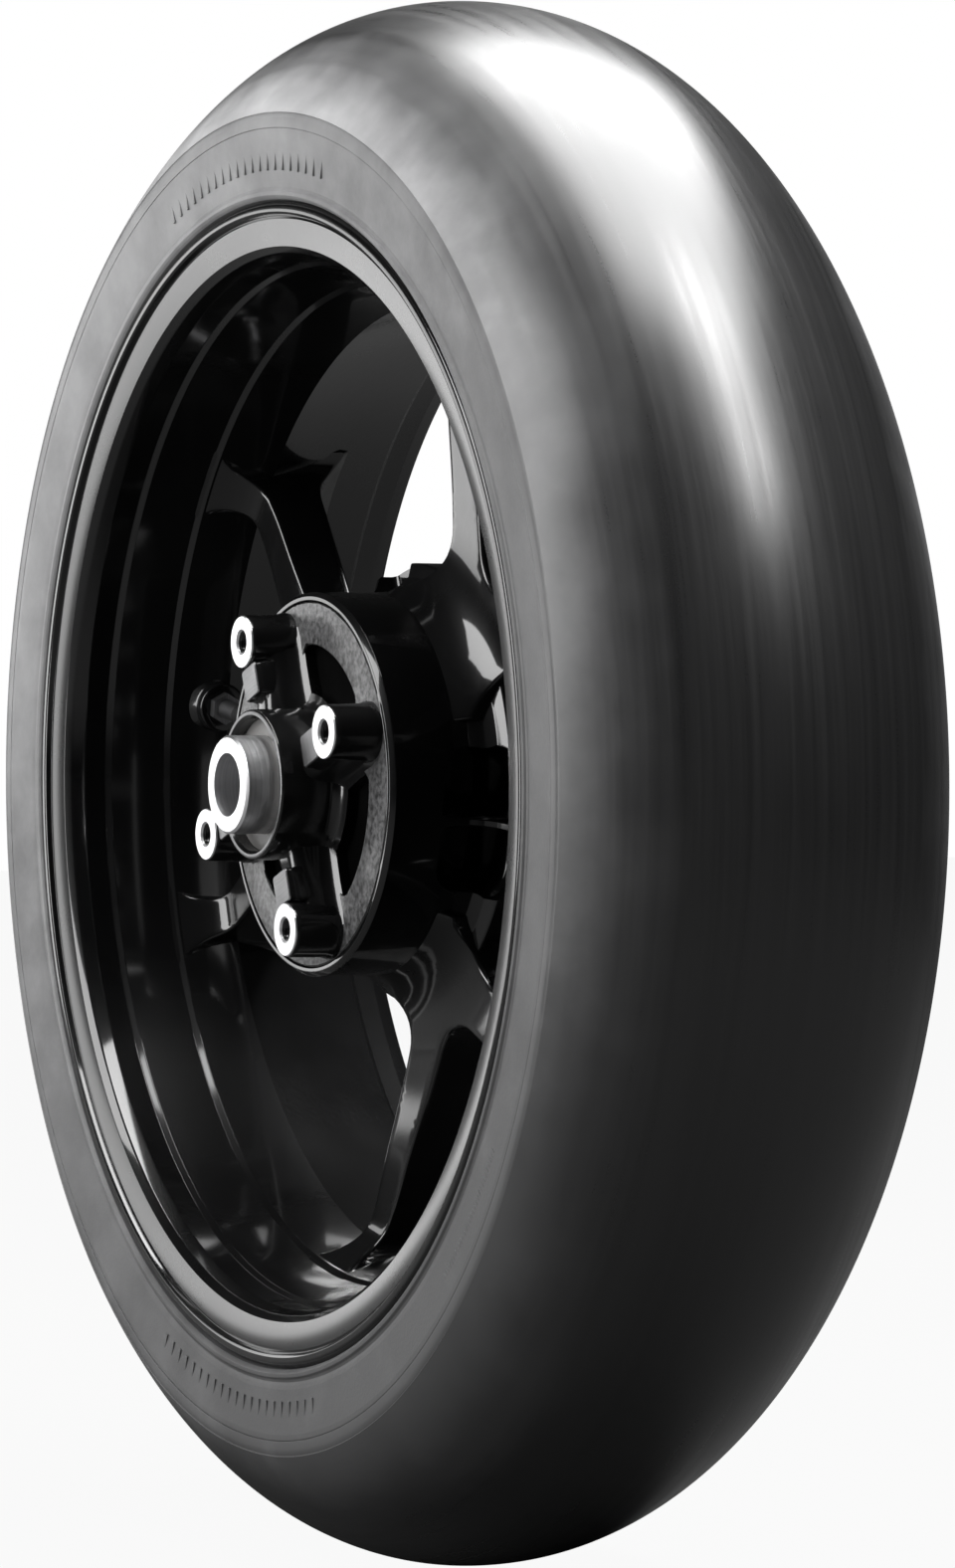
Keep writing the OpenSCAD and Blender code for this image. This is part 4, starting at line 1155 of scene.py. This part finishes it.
def carrier():
    """Carrier casting, made with its first arm along X and then turned to its place."""
    shell = Shell()
    carrier_plate(shell)
    for direction in np.arange(ARMS) * 360 / ARMS:
        carrier_arm(shell, direction)
        pillar(shell, direction)
        pilot_pad(shell, direction)
    carrier_boss(shell)
    carrier_vanes(shell)
    piece = shell.made("sprocket_carrier_finish", FIRST_ARM)
    paint(piece, *CARRIER_FINISHES)
    return fit(piece, "carrier", "carrier_paint", "sprocket_carrier")


# ---- stage ----

CAMERA_AZ, CAMERA_EL, CAMERA_ROLL = 63.19, 0.22, 0.22
CAMERA_FAR = 1.91867
CAMERA_AIM = Vector((0, 0.02188, -0.00027))
CAMERA_LENS = 109.58


def camera():
    """The camera, and the direction from the wheel to it."""
    az, el = math.radians(CAMERA_AZ), math.radians(CAMERA_EL)
    back = Vector((math.sin(az) * math.cos(el), -math.cos(az) * math.cos(el), math.sin(el)))
    eye = as_object(bpy.data.cameras.new("camera"), "camera")
    eye.data.lens = CAMERA_LENS
    eye.data.sensor_width = 36
    eye.data.clip_end = 50
    roll = Matrix.Rotation(-math.radians(CAMERA_ROLL), 4, "Z")
    look = back.to_track_quat("Z", "Y").to_matrix().to_4x4()
    eye.matrix_world = Matrix.Translation(CAMERA_AIM + back * CAMERA_FAR) @ look @ roll
    bpy.context.scene.camera = eye
    return back


def panel(name, towards, far, width, height, power):
    """A soft light that faces the wheel from a direction."""
    lamp = bpy.data.lights.new(name, "AREA")
    lamp.shape = "RECTANGLE"
    lamp.size, lamp.size_y, lamp.energy = width, height, power
    towards = towards.normalized()
    turn = towards.to_track_quat("Z", "Y").to_matrix().to_4x4()
    as_object(lamp, name).matrix_world = Matrix.Translation(towards * far) @ turn


def stage(back):
    """Studio: an overhead softbox, a tall light on the left and a pale floor under the tyre."""
    up = Vector((0, 0, 1))
    right = (-back).cross(up).normalized()
    panel("overhead", up * 1.5 + right * 0.22 - back * 0.05, 1.5, 1.7, 1.15, 88)
    panel("overhead_end", up * 1.5 + right * 0.78 + back * 0.95, 1.9, 0.46, 1.2, 44)
    panel("left_wall", -right * 0.94 + back * 0.36 + up * 0.3, 2.0, 0.9, 2.5, 62)
    panel("backdrop", -right * 0.8 - back * 0.6 + up * 0.07, 2.2, 0.86, 0.72, 5.3)
    ground = bpy.data.meshes.new("floor")
    half, low = 12.0, cad_bounds[0][2]
    ground.from_pydata([(-half, -half, low), (half, -half, low), (half, half, low),
                        (-half, half, low)], [], [(0, 1, 2, 3)])
    floor = as_object(ground, "floor")
    floor.data.materials.append(pale_floor())
    world = bpy.data.worlds.new("studio")
    bpy.context.scene.world = world
    bpy.context.scene.view_settings.view_transform = "Standard"
    world.use_nodes = True
    t = Tree(world.node_tree)
    world.node_tree.nodes.clear()
    seen = t.add("ShaderNodeLightPath").outputs["Is Camera Ray"]
    bright = t.add("ShaderNodeBackground", (1, 1, 1, 1), 1.0).outputs[0]
    dim = t.add("ShaderNodeBackground", (1, 1, 1, 1), 0.02).outputs[0]
    mix = t.add("ShaderNodeMixShader", seen, dim, bright).outputs[0]
    t.add("ShaderNodeOutputWorld", mix)


def pale_floor():
    """Pale to the camera, and dark enough to light little of the tyre from below."""
    made, t, shader = material("pale_floor", roughness=0.9)
    mottle = t.noise(t.place(), 3.0, 2.0, 0.5)
    tone = t.ramp(mottle, [(0.3, (0.055, 0.055, 0.055)), (0.7, (0.065, 0.065, 0.065))])
    t.put(tone, shader.inputs["Base Color"])
    seen = t.add("ShaderNodeLightPath").outputs["Is Camera Ray"]
    glow = t.add("ShaderNodeEmission", (1, 1, 1, 1), 1.0).outputs[0]
    out = made.node_tree.nodes["Material Output"]
    share = t.math("MULTIPLY", seen, 0.94)
    mix = t.add("ShaderNodeMixShader", share, shader.outputs[0], glow).outputs[0]
    t.put(mix, out.inputs["Surface"])
    return made


# ---- everything ----

stage(camera())
slick_tread()
sidewall(1, "sidewall_sprocket_finish", "sidewall_sprocket_side")
sidewall(-1, "sidewall_disc_finish", "sidewall_disc_side")
sidewall_ribs()
rim()
for number in range(PAIRS):
    spoke_pair(number)
hub()
carrier()
for row in frame["record"]["subparts"]:
    kept = frame["nodes"][row["node"]]
    kept.data.materials.clear()
    kept.data.materials.append(FINISH[row["material_slot"]])
